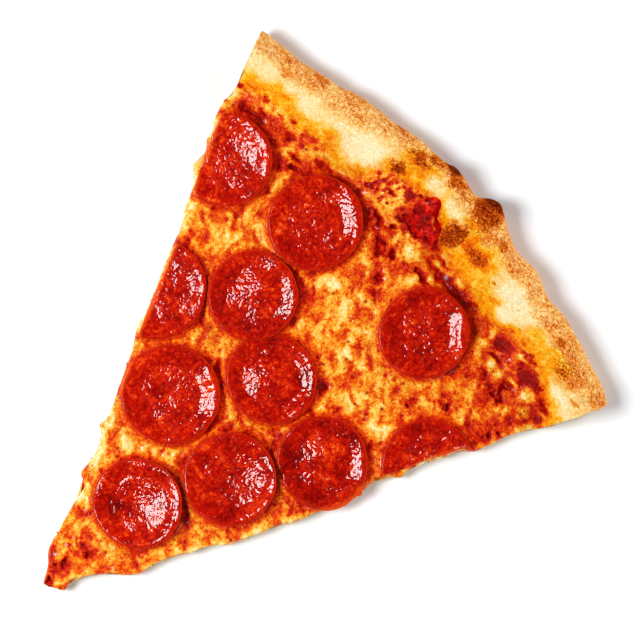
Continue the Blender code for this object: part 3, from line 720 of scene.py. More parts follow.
def topping_grid(columns, rows, past, bulge):
    """Plan places, the share of the roll (0 inside, 1 at the foot of the edge) and how far the edge hangs."""
    turn = np.linspace(1, 0, ROLL + 1)[:-1]
    roll = np.concatenate([turn, np.zeros(columns - 2 * ROLL), turn[::-1]])[:, None]
    side = np.concatenate([-np.ones(columns // 2), np.ones(columns - columns // 2)])[:, None]
    share = np.concatenate([np.zeros(ROLL), np.linspace(0, 1, columns - 2 * ROLL), np.ones(ROLL)])[:, None]
    length = cheese_reach(HALF_ANGLE * (2 * share - 1)) + past - TOPPING_START
    radius = TOPPING_START + length * np.linspace(0, 1, rows)
    hang, out = 0 * radius, 0 * radius
    if bulge:
        hang = np.where(side < 0, bells(radius, LEFT_DRIPS), bells(radius, RIGHT_DRIPS))
        hang = np.clip(hang + 0.35 * noise(radius, 60.0 * side, 4.0, 741), 0.0, 1.2)
        out = (0.5 + DRIP_OUT * hang) * np.sin(roll * math.pi / 2)
    angle = edge_angles(radius, share, 0.5 if bulge else 0.3) + side * out / radius
    return *to_plan(radius, angle), roll + 0 * radius, hang


def topping(name, node, columns, rows, past, thickness, floor, bulge):
    """A layer whose fine grid rolls over the cuts and whose hidden side is coarse, with its masks."""
    x, y, roll, hang = topping_grid(columns, rows, past, bulge)
    warm, seat = warmth(x, y), dough_height(x, y)
    foot = seat + floor - DRIP_DEPTH * hang
    z = foot + (seat + thickness(x, y, warm) - foot) * np.cos(roll * math.pi / 2) ** 0.8
    z += (foot - z) * smoothstep(1.2, 0.0, np.hypot(x, y) - TOPPING_START)
    under = seat + floor - 0.9 * smoothstep(12.0, 3.0, cheese_left(x, y))
    low = np.minimum(under, lowest(z, STEP) - 0.05)[::STEP, ::STEP]
    points, faces = lidded(placed(x, y, z), placed(x[::STEP, ::STEP], y[::STEP, ::STEP], low), STEP)
    masks = {"warm": warm, "brown": spots(*ragged(x, y, 1.5, 4.0, 751), BROWNED)}
    masks = {label: padded(values, low) for label, values in masks.items()}
    return skin(name, points, faces, masks, node)


cheese_piece = topping(
    "melted_cheese", "cheese", 301, 311, past=4.0, thickness=cheese_thickness, floor=0.75, bulge=True
)
sauce_piece = topping(
    "cooked_sauce", "tomato_sauce", 211, 231, past=3.0, thickness=sauce_thickness, floor=0.05, bulge=False
)

# %% [markdown]
# ## The pepperoni
# A round of pepperoni shrinks in the heat. Its rim curls up, its middle domes or sags, and its wet surface
# puckers. The piece is a stack of rings about a point inside it: rings over the top, a rounded edge, and
# rings below. The knife went through three rounds, so each ring's reach is the smaller of an oval's and the
# distance to the cut. A fourth lies across the cut, and its rim folds down over it.

# %% The outline of a round
SECTORS, TOP_RINGS, EDGE_RINGS, LOW_RINGS = 328, 76, 8, 7
THICKNESS, SUNK, PUCKER_DEPTH = 1.5, 0.2, 0.17
UNDER_CURL = 0.9  # how much of the cup the underside follows
FOLD_INSIDE = 2.2  # how far inside the straight cut a flapped rim folds down
FOLD_SLOPE, FOLD_CREASE = 0.5, 0.7
EDGE_ROUND = 0.055  # share of the radius that the rounded edge takes
CUT_INSETS = {-1: 0.3, 1: 1.0}  # how far inside each cut the meat ends
TINT_INSET = 0.3  # how far inside a cut the orange tint of its edge begins
CUT_WITHIN, POLE_WITHIN = 0.8, 0.42  # how near a cut trims a round, and how near the pole may come to it
LIFTED = {"pepperoni_04": 0.5, "pepperoni_07": 0.75, "pepperoni_08": 0.5}
ASIDE = {  # how far the dome sits from the middle, as shares of the radius
    "pepperoni_04": (0.0, 0.30), "pepperoni_05": (0.0, -0.05),
    "pepperoni_08": (0.12, 0.08), "pepperoni_09": (-0.12, 0.14),
}
DARKER_MEAT = (  # where the meat is darkest: across, along, half-width, half-depth, strength
    (27, 107.5, 5, 6.5, 1), (41, 105.5, 8, 4.5, 0.8), (28.5, 126.5, 5, 4.5, 0.6),
    (37.5, 129.5, 6, 3.5, 0.7), (-8, 47, 6, 6.5, 0.85), (-8, 131.5, 6, 5, 0.55), (8.5, 131.5, 5, 5, 0.5),
    (-34, 132.5, 5, 6, 0.25), (-18.5, 133, 6, 5, 0.45), (21, 169, 6, 6.5, 0.55), (25, 78.5, 6, 5, 0.45),
    (57, 150, 11, 8, 0.35),
)
LIT_EDGE_SIDE = math.radians(226.0)  # the side of each round that faces the key light, whose edge is painted brighter orange there: painted light
FLAPPED = {  # direction, half-width and reach of a rim folded over the cut, its torn corner, and a notch
    "pepperoni_09": ((-0.45, 0.70, 2.1), (0.10, 0.08, 1.5), (-2.03, 0.16, -1.4)),
}


def round_outline(name, turns):
    """The pole of the rings and how far they reach: the root of a quadratic for the oval, or the cut."""
    x, y, wide, deep = ROUNDS[name][:4]
    pole, cuts = np.array([x, y]), []
    for side in (-1, 1):
        normal = np.array([side * math.cos(HALF_ANGLE), -math.sin(HALF_ANGLE)])
        inside = -np.array([x, y]) @ normal
        if inside < CUT_WITHIN * wide and name not in FLAPPED:
            pole = pole - normal * max(0.0, POLE_WITHIN * wide - inside)
            cuts.append((side, normal))
    cos, sin = np.cos(turns), np.sin(turns)
    px, py = (pole[0] - x) / wide, (pole[1] - y) / deep
    a = (cos / wide) ** 2 + (sin / deep) ** 2
    b = px * cos / wide + py * sin / deep
    reach = (-b + np.sqrt(b * b - a * (px * px + py * py - 1))) / a
    wobble = noise(7 * cos + x, 7 * sin + y, 3.2, 801) + 0.5 * noise(7 * cos + x, 7 * sin + y, 1.1, 802)
    reach = reach * (1 + 0.010 * wobble)
    if name in FLAPPED:
        reach = reach + bells(turns, FLAPPED[name]) + bells(turns - 2 * math.pi, FLAPPED[name])
    for side, normal in cuts:
        speed = np.maximum(cos * normal[0] + sin * normal[1], 1e-6)
        place = pole + np.stack([cos, sin], -1) * reach[:, None]
        away = np.hypot(place[:, 0], place[:, 1])
        shift = sum(cut_shift(away + step, side) for step in (-9, -4.5, 0, 4.5, 9)) / 5 - CUT_INSETS[side]
        reach = np.minimum(reach, (shift - pole @ normal) / speed)
    return pole, reach


def puckers(x, y, seed):
    """Smooth domes between sharp creases: |noise| at two sizes, pushed about by a third noise."""
    wx, wy = ragged(x, y, 0.6, 2.2, seed)
    coarse = np.abs(noise(wx, wy, 2.5, seed + 2))
    fine = np.abs(noise(wx, wy, 1.3, seed + 3))
    return 1.2 * coarse + 0.8 * fine - 0.5


# %% The surface of a round
def round_seed(name):
    """The first of ten seeds that belong to this round alone."""
    return 820 + 10 * list(ROUNDS).index(name)


def round_height(name, x, y, level):
    """Seat, cup, dome and lean for the top (level 1) and the underside (level 0), and puckers on top."""
    cx, cy, wide, deep, cup, dome, lean_x, lean_y = ROUNDS[name]
    dx, dy = (x - cx) / wide, (y - cy) / deep
    away = np.hypot(dx, dy)
    seed = round_seed(name)
    wavy = away + 0.06 * noise(x, y, 9.0, seed)
    curl = cup * smoothstep(0.58, 0.94, wavy)
    aside_x, aside_y = ASIDE.get(name, (0.0, 0.0))
    bulge = dome * np.exp(-((np.hypot(dx - aside_x, dy - aside_y) / 0.44) ** 2))
    bulge += 0.4 * noise(x, y, 8.0, seed + 1)
    wet = PUCKER_DEPTH * puckers(x, y, seed + 4) * (0.2 + 0.8 * smoothstep(0.98, 0.88, away))
    foot = DOUGH_TOP + CHEESE_RISE - SUNK + LIFTED.get(name, 0.0) + lean_x * dx + lean_y * dy
    low = foot + UNDER_CURL * cup * smoothstep(0.5, 1.0, away)
    high = foot + THICKNESS + curl + bulge + wet
    height = low + (high - low) * level
    if name in FLAPPED:
        beyond = x * math.cos(HALF_ANGLE) - y * math.sin(HALF_ANGLE) + FOLD_INSIDE
        height -= FOLD_SLOPE * np.maximum(beyond, 0.0) + FOLD_CREASE * np.exp(-((beyond / 0.6) ** 2)) * level
    return height


def round_of_pepperoni(name):
    """Rings of points from the pole of the top, round the edge, to the pole below."""
    cx, cy, wide, deep = ROUNDS[name][:4]
    turns = np.linspace(0, 2 * math.pi, SECTORS, endpoint=False)
    pole, reach = round_outline(name, turns)
    edge = np.linspace(math.pi / 2, -math.pi / 2, EDGE_RINGS + 2)[1:-1]
    share = [np.linspace(0, 1 - EDGE_ROUND, TOP_RINGS), 1 - EDGE_ROUND + EDGE_ROUND * np.cos(edge)]
    share = np.concatenate(share + [np.linspace(1 - EDGE_ROUND, 0, LOW_RINGS)])
    level = np.concatenate([np.ones(TOP_RINGS), 0.5 + 0.5 * np.sin(edge), np.zeros(LOW_RINGS)])
    x = pole[0] + share[:, None] * reach * np.cos(turns)
    y = pole[1] + share[:, None] * reach * np.sin(turns)
    z = round_height(name, x, y, level[:, None])
    grid = placed(x, y, z)
    grid = np.concatenate([grid, grid[:, :1]], axis=1)
    grid[0], grid[-1] = grid[0, 0], grid[-1, 0]
    away = np.hypot((x - cx) / wide, (y - cy) / deep)
    seed = round_seed(name)
    rim = smoothstep(0.90, 0.985, away + 0.03 * noise(x, y, 5.0, seed + 7))
    toward = np.arctan2(y - cy, x - cx)
    # painted light: the edge on the side facing the key light, which the material paints brighter orange as
    # if light shone through it
    clear = smoothstep(0.93, 0.99, away) * np.clip(np.cos(toward - LIT_EDGE_SIDE), 0.0, 1.0)
    fat = smoothstep(0.15, 0.65, layered(x, y, 7.0, seed + 8)) * smoothstep(0.8, 0.6, away)
    # painted light: the edge wall on the side away from the key light, which the material paints brighter
    # orange to lift its shade
    wall = smoothstep(0.975, 0.995, share[:, None]) * smoothstep(-0.4, 0.7, np.cos(toward - SHADE_SIDE))
    left, right = (inside_cut(x, y, side) - TINT_INSET for side in (-1, 1))
    cut = np.maximum(smoothstep(2.4, 0.3, left), 0.6 * smoothstep(1.6, 0.2, right))
    stewed = spots(*ragged(x, y, 2.0, 5.0, seed + 9), DARKER_MEAT)
    masks = {"rim": rim, "fat": fat, "cut": cut, "wall": wall, "clear": clear, "stewed": stewed}
    masks["pucker"] = puckers(x, y, seed + 4)
    masks = {label: np.concatenate([v, v[:, :1]], axis=1) for label, v in masks.items()}
    points, faces, masks = welded([(grid, masks)])
    return skin(name.replace("pepperoni", "cured_round"), points, faces, masks, name)


pepperoni_pieces = [round_of_pepperoni(name) for name in ROUNDS]

# %% [markdown]
# ## Herbs and crumbs
# Dried herbs and pepper lie on the cheese and the rounds as tiny flakes, and the knife left crumbs along
# the cuts. Each is a small lump with its own size, turn and dents. A flake comes to rest on whatever lies
# below it, and a crumb sits at its own height on a cut.

# %% Flakes and crumbs
FLAKES, CRUMBS = 80, 90
DROP_FROM = 60.0
STREWN, CRUMBED = (20.0, 206.0), (18.0, 214.0)  # nearest and farthest from the pie's centre


def lumps_of(name, places, sizes, flatness, seed):
    """A piece made of many dented balls: every corner of each is moved in or out by a random share."""
    rng = np.random.default_rng(seed)
    bm = bmesh.new()
    bmesh.ops.create_icosphere(bm, subdivisions=1 if flatness < 0.5 else 2, radius=1.0)
    ball = np.array([vertex.co for vertex in bm.verts])
    corners = np.array([[vertex.index for vertex in face.verts] for face in bm.faces])
    bm.free()
    dents = rng.uniform(0.55, 1.25, (len(places), len(ball), 1))
    shape = rng.uniform(0.5, 1.0, (len(places), 1, 3)) * np.array([1.0, 1.0, flatness])
    turn = rng.uniform(0, 2 * math.pi, len(places))[:, None]
    solid = ball * dents * shape * sizes[:, None, None]
    x = solid[..., 0] * np.cos(turn) - solid[..., 1] * np.sin(turn)
    y = solid[..., 0] * np.sin(turn) + solid[..., 1] * np.cos(turn)
    points = places[:, None] + np.stack([x, y, solid[..., 2]], -1) * 0.001
    faces = corners + np.arange(len(places))[:, None, None] * len(ball)
    tone = np.repeat(rng.random(len(places)), len(ball))
    return skin(name, points.reshape(-1, 3), list(faces.reshape(-1, 3)), {"tone": tone})


def dropped(x, y, lift):
    """Where things let fall at those plan places come to rest on the slice, without those that miss it."""
    view = bpy.context.evaluated_depsgraph_get()
    rest = []
    for spot in placed(x, y, np.full(x.shape, DROP_FROM)):
        hit, place, *_ = bpy.context.scene.ray_cast(view, spot, (0.0, 0.0, -1.0))
        rest.append((*place[:2], place[2] + lift * 0.001) if hit else (0.0, 0.0, -1.0))
    rest = np.array(rest)
    return rest[rest[:, 2] > 0]


def flakes():
    """Herbs and pepper, strewn at random over the topping."""
    rng = np.random.default_rng(901)
    radius = np.sqrt(rng.uniform(STREWN[0] ** 2, STREWN[1] ** 2, FLAKES))
    angle = edge_angles(radius, rng.uniform(0.03, 0.97, FLAKES), 1.0)
    places = dropped(*to_plan(radius, angle), 0.02)
    return lumps_of("herb_flakes", places, rng.uniform(0.2, 0.5, len(places)), 0.3, 902)


def crumbs():
    """Bits of crust and browned cheese that cling to both cuts."""
    rng = np.random.default_rng(911)
    radius = rng.uniform(*CRUMBED, CRUMBS)
    side = np.where(rng.random(CRUMBS) < 0.5, 0.0, 1.0)
    angle = edge_angles(radius, side, rng.uniform(-0.25, 1.2, CRUMBS))
    x, y = to_plan(radius, angle)
    places = placed(x, y, rng.uniform(1.5, 6.0, CRUMBS))
    return lumps_of("crust_crumbs", places, rng.uniform(0.35, 0.95, CRUMBS), 0.8, 912)


flake_piece, crumb_piece = flakes(), crumbs()

# %% [markdown]
# ## Materials
# Every material starts from the masks that its piece carries, adds finer noise than the mesh can hold, and
# turns the result into colour with a ramp. Wet oil is a smooth coat over the shader, and its glints follow
# the puckers of the mesh. What lies below the coat is roughened by bump. A socket knows the tree of nodes
# that it belongs to, so most helpers only need sockets.

# %% Node helpers
def linear(red, green, blue):
    """A screen colour from 0 to 255 as the linear light that the shader takes."""
    share = np.array([red, green, blue]) / 255.0
    light = np.where(share <= 0.04045, share / 12.92, ((share + 0.055) / 1.055) ** 2.4)
    return (*light.tolist(), 1.0)


def is_socket(value):
    return isinstance(value, bpy.types.NodeSocket)


def fill(socket, value):
    """Links an input to a socket, or sets it to a plain value."""
    if is_socket(value):
        socket.id_data.links.new(value, socket)
    else:
        socket.default_value = value


def add(tree, kind, inputs=None, **settings):
    """A new node with its settings and its inputs filled."""
    node = tree.nodes.new(kind)
    for key, value in settings.items():
        setattr(node, key, value)
    for key, value in (inputs or {}).items():
        fill(node.inputs[key], value)
    return node


def maths(operation, a, b=0.0, c=0.0, clamp=False):
    """One step of arithmetic, in the tree of whichever value is a socket."""
    tree = next(value for value in (a, b, c) if is_socket(value)).id_data
    return add(tree, "ShaderNodeMath", {0: a, 1: b, 2: c}, operation=operation, use_clamp=clamp).outputs[0]


def total(start, *shares, clamp=False):
    """The start plus each value times its weight, held between 0 and 1 at the end if clamped."""
    for k, (value, weight) in enumerate(shares, 1):
        start = maths("MULTIPLY_ADD", value, weight, start, clamp and k == len(shares))
    return start


def scaled(value, low, high, out_low=0.0, out_high=1.0):
    """The value carried from one range to another, eased and held at the ends."""
    inputs = {"Value": value, "From Min": low, "From Max": high, "To Min": out_low, "To Max": out_high}
    node = add(value.id_data, "ShaderNodeMapRange", inputs, interpolation_type="SMOOTHSTEP")
    return node.outputs["Result"]


def ramp(value, stops):
    """A colour ramp from (place, screen colour) stops."""
    node = add(value.id_data, "ShaderNodeValToRGB", {"Fac": value})
    elements = node.color_ramp.elements
    while len(elements) < len(stops):
        elements.new(0.5)
    for element, (place, colour) in zip(elements, stops):
        element.position = place
        element.color = linear(*colour)
    return node.outputs["Color"]


def mixed(share, a, b):
    """Colour a towards colour b by the share."""
    return add(share.id_data, "ShaderNodeMix", {0: share, 6: a, 7: b}, data_type="RGBA").outputs[2]


def mask(tree, label):
    return add(tree, "ShaderNodeAttribute", attribute_name=label).outputs["Fac"]


def effect(name, inputs, output):
    """An empty node group that takes a place and named numbers, with its inputs and its output to fill."""
    tree = bpy.data.node_groups.new(name, "ShaderNodeTree")
    tree.interface.new_socket("Vector", in_out="INPUT", socket_type="NodeSocketVector")
    for label, default in inputs.items():
        socket = tree.interface.new_socket(label, in_out="INPUT", socket_type="NodeSocketFloat")
        socket.default_value = default
    tree.interface.new_socket(output, in_out="OUTPUT", socket_type="NodeSocketFloat")
    return tree, tree.nodes.new("NodeGroupInput").outputs, tree.nodes.new("NodeGroupOutput").inputs[output]


# %% Effects that several materials share
def bent_noise(tree, given, detail, bend):
    """Noise of the given size in millimetres, from 0 to 1, whose places are bent by more of it."""
    scale = maths("DIVIDE", 1000.0, given["Size mm"])
    inputs = {"Vector": given["Vector"], "Scale": scale, "Detail": detail, "Distortion": bend}
    return add(tree, "ShaderNodeTexNoise", {**inputs, "Roughness": 0.5}).outputs["Fac"]


def grain_effect():
    """Wormy grain, about -1 to 1."""
    tree, given, grain_out = effect("Food_grain", {"Size mm": 1.0, "Bend": 0.6}, "Grain")
    fill(grain_out, total(-1.5, (bent_noise(tree, given, 2.0, given["Bend"]), 3.0)))
    return tree


def speck_effect():
    """Scattered specks: near a random point, and only where that point's own number is below the share."""
    tree, given, mask_out = effect("Food_specks", {"Size mm": 3.0, "Share": 0.2, "Width": 0.2}, "Mask")
    scale = maths("DIVIDE", 1000.0, given["Size mm"])
    cell = add(tree, "ShaderNodeTexVoronoi", {"Vector": given["Vector"], "Scale": scale})
    number = add(tree, "ShaderNodeSeparateColor", {"Color": cell.outputs["Color"]}).outputs[0]
    chosen = maths("LESS_THAN", number, given["Share"])
    near = scaled(cell.outputs["Distance"], given["Width"], 0.0)
    fill(mask_out, maths("MULTIPLY", near, chosen, clamp=True))
    return tree


def vein_effect():
    """Thin winding lines, where bent noise is close to its middle value."""
    tree, given, mask_out = effect("Food_veins", {"Size mm": 1.0, "Width": 0.05}, "Mask")
    away = maths("ABSOLUTE", maths("SUBTRACT", bent_noise(tree, given, 1.0, 0.5), 0.5))
    fill(mask_out, maths("SUBTRACT", 1.0, maths("DIVIDE", away, given["Width"]), clamp=True))
    return tree


GRAIN, SPECKS, VEINS = grain_effect(), speck_effect(), vein_effect()


def use_effect(group, place, **values):
    """A shared effect at the place, with its named numbers filled."""
    node = add(place.id_data, "ShaderNodeGroup", node_tree=group)
    fill(node.inputs["Vector"], place)
    for label, value in values.items():
        fill(node.inputs[label.replace("_", " ")], value)
    return node.outputs[0]


def grain(place, size, bend):
    return use_effect(GRAIN, place, Size_mm=size, Bend=bend)


def veins_of(place, size, width):
    return use_effect(VEINS, place, Size_mm=size, Width=width)


def food_material(name, **values):
    """A Principled shader with the values that are the same all over, its tree, and the place vector."""
    material = bpy.data.materials.new(name)
    material.use_nodes = True
    tree = material.node_tree
    shader = tree.nodes["Principled BSDF"]
    for label, value in values.items():
        shader.inputs[label.replace("_", " ")].default_value = value
    shader.inputs["Subsurface Radius"].default_value = (1.0, 0.42, 0.18)
    return material, tree, shader.inputs, add(tree, "ShaderNodeTexCoord").outputs["Object"]


def bumped(inputs, layers):
    """Chains bump nodes, one for each (height, depth in millimetres), into the shader's normal."""
    normal = None
    for height, depth in layers:
        bump = {"Height": height, "Distance": depth * 0.001, "Strength": 1.0}
        bump = add(height.id_data, "ShaderNodeBump", bump)
        if normal:
            fill(bump.inputs["Normal"], normal)
        normal = bump.outputs["Normal"]
    fill(inputs["Normal"], normal)


# %% Crust
OIL_STOPS = [
    (0.0, (252, 214, 120)), (0.2, (251, 186, 40)), (0.34, (248, 158, 14)), (0.5, (238, 122, 10)),
    (0.65, (222, 78, 8)), (0.8, (186, 26, 4)), (1.0, (126, 5, 2)),
]
CRUST_STOPS = [
    (0.0, (253, 234, 186)), (0.12, (252, 222, 156)), (0.25, (248, 200, 118)), (0.38, (241, 168, 78)),
    (0.5, (229, 126, 36)), (0.62, (206, 84, 12)), (0.75, (160, 50, 7)), (0.88, (104, 28, 6)),
    (1.0, (52, 18, 8)),
]
CRUMB_STOPS = [(0.0, (222, 170, 100)), (0.5, (248, 214, 150)), (1.0, (255, 236, 190))]
FLOUR = (252, 212, 158)


def crust_material():
    """Cream to charcoal by toast, freckled where the rim browned, stained yellow where oil soaked in."""
    material, tree, inputs, place = food_material(
        "baked_crust", Specular_IOR_Level=0.0, Subsurface_Weight=0.06, Subsurface_Scale=0.0012
    )
    toast, outer, oil = mask(tree, "toast"), mask(tree, "skin"), mask(tree, "oil")
    freckle, fine, streaks = grain(place, 1.5, 1.2), grain(place, 0.6, 0.8), grain(place, 4.0, 2.2)
    veins = veins_of(place, 1.5, 0.07)
    ruffle = total(-0.08, (freckle, 0.12), (fine, 0.10), (veins, 0.22))
    browning = total(0.6, (maths("MAXIMUM", outer, scaled(toast, 0.42, 0.62)), 0.6))
    browning = maths("MULTIPLY", browning, scaled(toast, 0.6, 0.9, 1.1, 0.9))
    ruffled = total(toast, (ruffle, browning), clamp=True)
    dusty = maths("MULTIPLY", outer, grain(place, 2.2, 1.0))
    dusty = maths("MULTIPLY", dusty, scaled(toast, 0.55, 0.7, 1.0, 0.0))
    colour = mixed(scaled(dusty, 0.0, 0.7, 0.0, 0.55), ramp(ruffled, CRUST_STOPS), linear(*FLOUR))
    soaked = maths("MULTIPLY", oil, scaled(ruffled, 0.42, 0.62, 1.0, 0.0))
    soaked = total(scaled(soaked, 0.0, 0.65), (streaks, 0.12), clamp=True)
    warm = maths("MULTIPLY", mask(tree, "warm"), scaled(oil, 0.0, 1.0, 0.35, 1.0))
    warm = total(warm, (freckle, 0.16), (fine, 0.10), (streaks, 0.20))
    colour = mixed(soaked, colour, ramp(warm, OIL_STOPS))
    crumb = ramp(maths("ADD", fine, 0.5), CRUMB_STOPS)
    fill(inputs["Base Color"], mixed(total(0.0, (mask(tree, "crumb"), 0.85)), colour, crumb))
    fill(inputs["Roughness"], scaled(oil, 0.2, 0.9, 0.62, 0.4))
    bumped(inputs, [(freckle, 0.16), (veins, -0.14), (fine, 0.09)])
    return material


# %% Cheese
CURD_STOPS = [
    (0.0, (255, 236, 182)), (0.14, (254, 214, 118)), (0.28, (251, 188, 64)), (0.42, (243, 144, 24)),
    (0.55, (231, 93, 7)), (0.68, (216, 52, 4)), (0.82, (188, 19, 2)), (1.0, (128, 4, 1)),
]
SPECK = (150, 12, 2)


def cheese_material():
    """Curd, oil and sauce by warmth, with brown specks and a wet grain."""
    material, tree, inputs, place = food_material(
        "molten_cheese", Roughness=0.3, Specular_IOR_Level=0.08, Coat_Roughness=0.1,
        Subsurface_Weight=0.05, Subsurface_Scale=0.0015,
    )
    fine, finer = grain(place, 1.1, 0.9), grain(place, 0.6, 0.5)
    curd = scaled(grain(place, 2.4, 1.0), -0.16, 0.16, -0.05, 0.05)
    mottle = total(curd, (fine, 0.15), (finer, 0.13), (veins_of(place, 2.8, 0.05), 0.14))
    colour = ramp(maths("ADD", mask(tree, "warm"), mottle, clamp=True), CURD_STOPS)
    share = total(0.05, (mask(tree, "brown"), 0.16))
    speck = use_effect(SPECKS, place, Size_mm=2.1, Share=share, Width=0.6)
    fill(inputs["Base Color"], mixed(scaled(speck, 0.1, 0.7, 0.0, 0.85), colour, linear(*SPECK)))
    fill(inputs["Coat Weight"], scaled(grain(place, 5.0, 1.0), 0.1, 0.7, 0.0, 0.7))
    bumped(inputs, [(fine, 0.2), (finer, 0.07)])
    return material


# %% Sauce
SAUCE_STOPS = [(0.0, (104, 1, 1)), (0.4, (156, 4, 3)), (0.7, (204, 14, 8)), (1.0, (228, 58, 18))]


def sauce_material():
    """Deep red to orange by its pulp, which stands out a little, with gloss in patches."""
    material, _, inputs, place = food_material(
        "tomato_sauce_gloss", Roughness=0.22, Specular_IOR_Level=0.04, Coat_Roughness=0.06,
        Subsurface_Weight=0.03, Subsurface_Scale=0.001,
    )
    pulp, fine = grain(place, 4.2, 0.8), grain(place, 1.1, 0.6)
    fill(inputs["Base Color"], ramp(total(0.46, (pulp, 0.85), (fine, 0.3), clamp=True), SAUCE_STOPS))
    fill(inputs["Coat Weight"], scaled(fine, 0.0, 0.7, 0.0, 0.6))
    bumped(inputs, [(pulp, 0.2), (fine, 0.05)])
    return material


# %% Pepperoni
MEAT_STOPS = [
    (0.0, (112, 3, 1)), (0.25, (152, 7, 1)), (0.5, (188, 18, 2)), (0.7, (214, 44, 6)), (0.86, (232, 82, 16)),
    (1.0, (244, 122, 38)),
]
RIM_STOPS = [(0.0, (140, 8, 2)), (0.5, (176, 18, 4)), (1.0, (206, 46, 10))]
FAT_FLECK_AND_GLINT = (246, 94, 30)
# tints of a round's edge: 'wall' and 'clear' are painted light, brighter orange on the shaded and the lit
# side of the edge; 'cut' is the orange of the cut meat
EDGES = (("wall", 0.6, (236, 62, 14)), ("clear", 0.15, (238, 92, 24)), ("cut", 0.85, (250, 92, 16)))


def pepperoni_material():
    """Dark red meat with orange fat in patches and grains, flecks that are partly painted glints, a plainer
    rim, edges painted lighter as painted light, and puckered wet gloss.
    """
    material, tree, inputs, place = food_material(
        "cured_sausage", Roughness=0.3, Specular_IOR_Level=0.02, Coat_Roughness=0.07,
        Subsurface_Weight=0.12, Subsurface_Scale=0.001,
    )
    broad, meat, fine = grain(place, 8.0, 1.0), grain(place, 3.4, 1.6), grain(place, 1.2, 1.2)
    finer, creases = grain(place, 0.45, 0.4), veins_of(place, 1.7, 0.06)
    cell = {"Vector": place, "Scale": 1000 / 1.15, "Smoothness": 0.25}
    beads = add(tree, "ShaderNodeTexVoronoi", cell, feature="SMOOTH_F1").outputs["Distance"]
    # the meat is lighter on the tops of the puckers and the middles of the beads, and darker at the beads'
    # edges and along the creases
    shade = total(0.585, (broad, 0.32), (meat, 0.24), (fine, 0.08), (beads, -0.18), (creases, -0.22))
    uneven = {"fat": 0.22, "pucker": 0.28, "stewed": -0.34}
    uneven = [(mask(tree, label), weight) for label, weight in uneven.items()]
    colour = ramp(total(shade, *uneven, clamp=True), MEAT_STOPS)
    # orange flecks of fat that also stand in for small glints: partly painted highlight
    fleck_and_glint = use_effect(SPECKS, place, Size_mm=1.9, Share=0.45, Width=0.5)
    colour = mixed(scaled(fleck_and_glint, 0.1, 0.8, 0.0, 0.2), colour, linear(*FAT_FLECK_AND_GLINT))
    colour = mixed(total(0.0, (mask(tree, "rim"), 0.8)), colour, ramp(total(0.5, (fine, 0.4)), RIM_STOPS))
    for label, share, tint in EDGES:
        colour = mixed(total(0.0, (mask(tree, label), share)), colour, linear(*tint))
    fill(inputs["Base Color"], colour)
    fill(inputs["Coat Weight"], scaled(mask(tree, "rim"), 0.0, 0.8, 0.85, 0.1))
    bumped(inputs, [(fine, 0.03), (beads, -0.14), (creases, -0.05), (finer, 0.010)])
    return material


# %% Herbs and crumbs
def scrap_material(name, stops):
    """One colour for each flake or crumb, picked along a ramp by its own number."""
    material, tree, inputs, place = food_material(name, Roughness=0.7, Specular_IOR_Level=0.05)
    tone = total(mask(tree, "tone"), (grain(place, 0.4, 0.5), 0.15), clamp=True)
    fill(inputs["Base Color"], ramp(tone, stops))
    return material


# %% Dress the pieces
def dress(piece, material):
    piece.data.materials.clear()
    piece.data.materials.append(material)


dress(dough_piece, crust_material())
dress(cheese_piece, cheese_material())
dress(sauce_piece, sauce_material())
sausage = pepperoni_material()
for piece in pepperoni_pieces:
    dress(piece, sausage)
herb_stops = [(0.0, (92, 20, 4)), (0.5, (136, 34, 6)), (0.8, (120, 60, 12)), (1.0, (168, 52, 8))]
crumb_stops = [(0.0, (116, 44, 10)), (0.4, (206, 120, 40)), (0.8, (244, 190, 104)), (1.0, (196, 60, 14))]
dress(flake_piece, scrap_material("dried_herbs", herb_stops))
dress(crumb_piece, scrap_material("toasted_crumbs", crumb_stops))
print("materials:", [material.name for material in bpy.data.materials])

# %% [markdown]
# ## Floor, camera and light
# The slice lies on a white sheet and is seen from straight above, turned so that its tip points to the
# lower left. A long lens far away keeps the sides from showing. A soft window of light on the left draws the
# shadow on the right of the rim and the bright crescents on the far walls of the pepperoni cups. Two more,
# lower and weaker, lift the shadows on the other sides, and the white surroundings fill the rest.

# %% The stage
FLOOR_SIDE = 4.0
CLEARANCE = 0.0001  # keeps the sheet and the underside from flickering through each other
floor_mesh = bpy.data.meshes.new("floor")
corners = [(x * FLOOR_SIDE, y * FLOOR_SIDE, -CLEARANCE) for x, y in ((-1, -1), (1, -1), (1, 1), (-1, 1))]
floor_mesh.from_pydata(corners, [], [(0, 1, 2, 3)])
floor = bpy.data.objects.new("floor", floor_mesh)
bpy.context.scene.collection.objects.link(floor)
floor_material = bpy.data.materials.new("white_sheet")
floor_material.use_nodes = True
sheet = floor_material.node_tree.nodes["Principled BSDF"].inputs
sheet["Base Color"].default_value = (0.92, 0.955, 0.985, 1.0)
sheet["Roughness"].default_value = 0.9
floor_mesh.materials.append(floor_material)

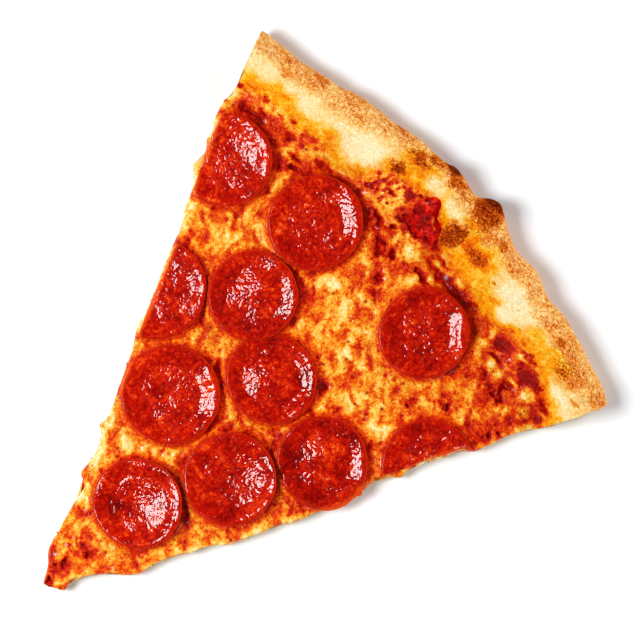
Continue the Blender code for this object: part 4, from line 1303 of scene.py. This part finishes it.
# %% The camera
CAMERA_HEIGHT, FIELD_Z, VIEW_WIDTH = 1.6, 0.008, 0.2414
SENSOR_MM = 36.0
IMAGE_TURN = math.radians(90 - 44.018)  # +Y shows at 44 degrees above the image's horizontal
VIEW_CENTRE = (-0.00262, 0.03305)
camera_data = bpy.data.cameras.new("camera")
camera_data.sensor_width = SENSOR_MM
camera_data.lens = SENSOR_MM * (CAMERA_HEIGHT - FIELD_Z) / VIEW_WIDTH
camera_data.clip_end = 20.0
camera = bpy.data.objects.new("camera", camera_data)
camera.location = (*VIEW_CENTRE, CAMERA_HEIGHT)
camera.rotation_euler = (0.0, 0.0, IMAGE_TURN)
bpy.context.scene.collection.objects.link(camera)
bpy.context.scene.camera = camera


# %% The lights
def soft_window(name, bearing, elevation, distance, size, power, mirrored=True):
    """A square light aimed at the slice, seen in wet places or not. Bearings count from image right."""
    turn, height = IMAGE_TURN + math.radians(bearing), math.radians(elevation)
    level = math.cos(height)
    away = np.array([math.cos(turn) * level, math.sin(turn) * level, math.sin(height)])
    data = bpy.data.lights.new(name, "AREA")
    data.shape = "SQUARE"
    data.size = size
    data.energy = power
    light = bpy.data.objects.new(name, data)
    light.location = away * distance
    light.rotation_euler = mathutils.Vector(away).to_track_quat("Z", "Y").to_euler()
    light.visible_glossy = mirrored
    bpy.context.scene.collection.objects.link(light)


soft_window("key_window", bearing=180.0, elevation=55.0, distance=1.0, size=0.43, power=11.0)
soft_window("fill_window", bearing=20.0, elevation=24.0, distance=1.2, size=0.8, power=9.0, mirrored=False)
soft_window("low_window", bearing=-55.0, elevation=18.0, distance=1.2, size=0.7, power=1.6, mirrored=False)


def surroundings(horizon, zenith):
    """A white room that is bright low down and dim overhead, by the height of the direction looked in."""
    world = bpy.data.worlds.new("surroundings")
    world.use_nodes = True
    tree = world.node_tree
    way = add(tree, "ShaderNodeTexCoord").outputs["Generated"]
    height = add(tree, "ShaderNodeSeparateXYZ", {"Vector": way}).outputs["Z"]
    background = tree.nodes["Background"].inputs
    fill(background["Strength"], scaled(height, 0.15, 0.45, horizon, zenith))
    background["Color"].default_value = (1.0, 1.0, 1.0, 1.0)
    bpy.context.scene.world = world


surroundings(horizon=1.2, zenith=0.03)
bpy.context.scene.view_settings.view_transform = "Standard"
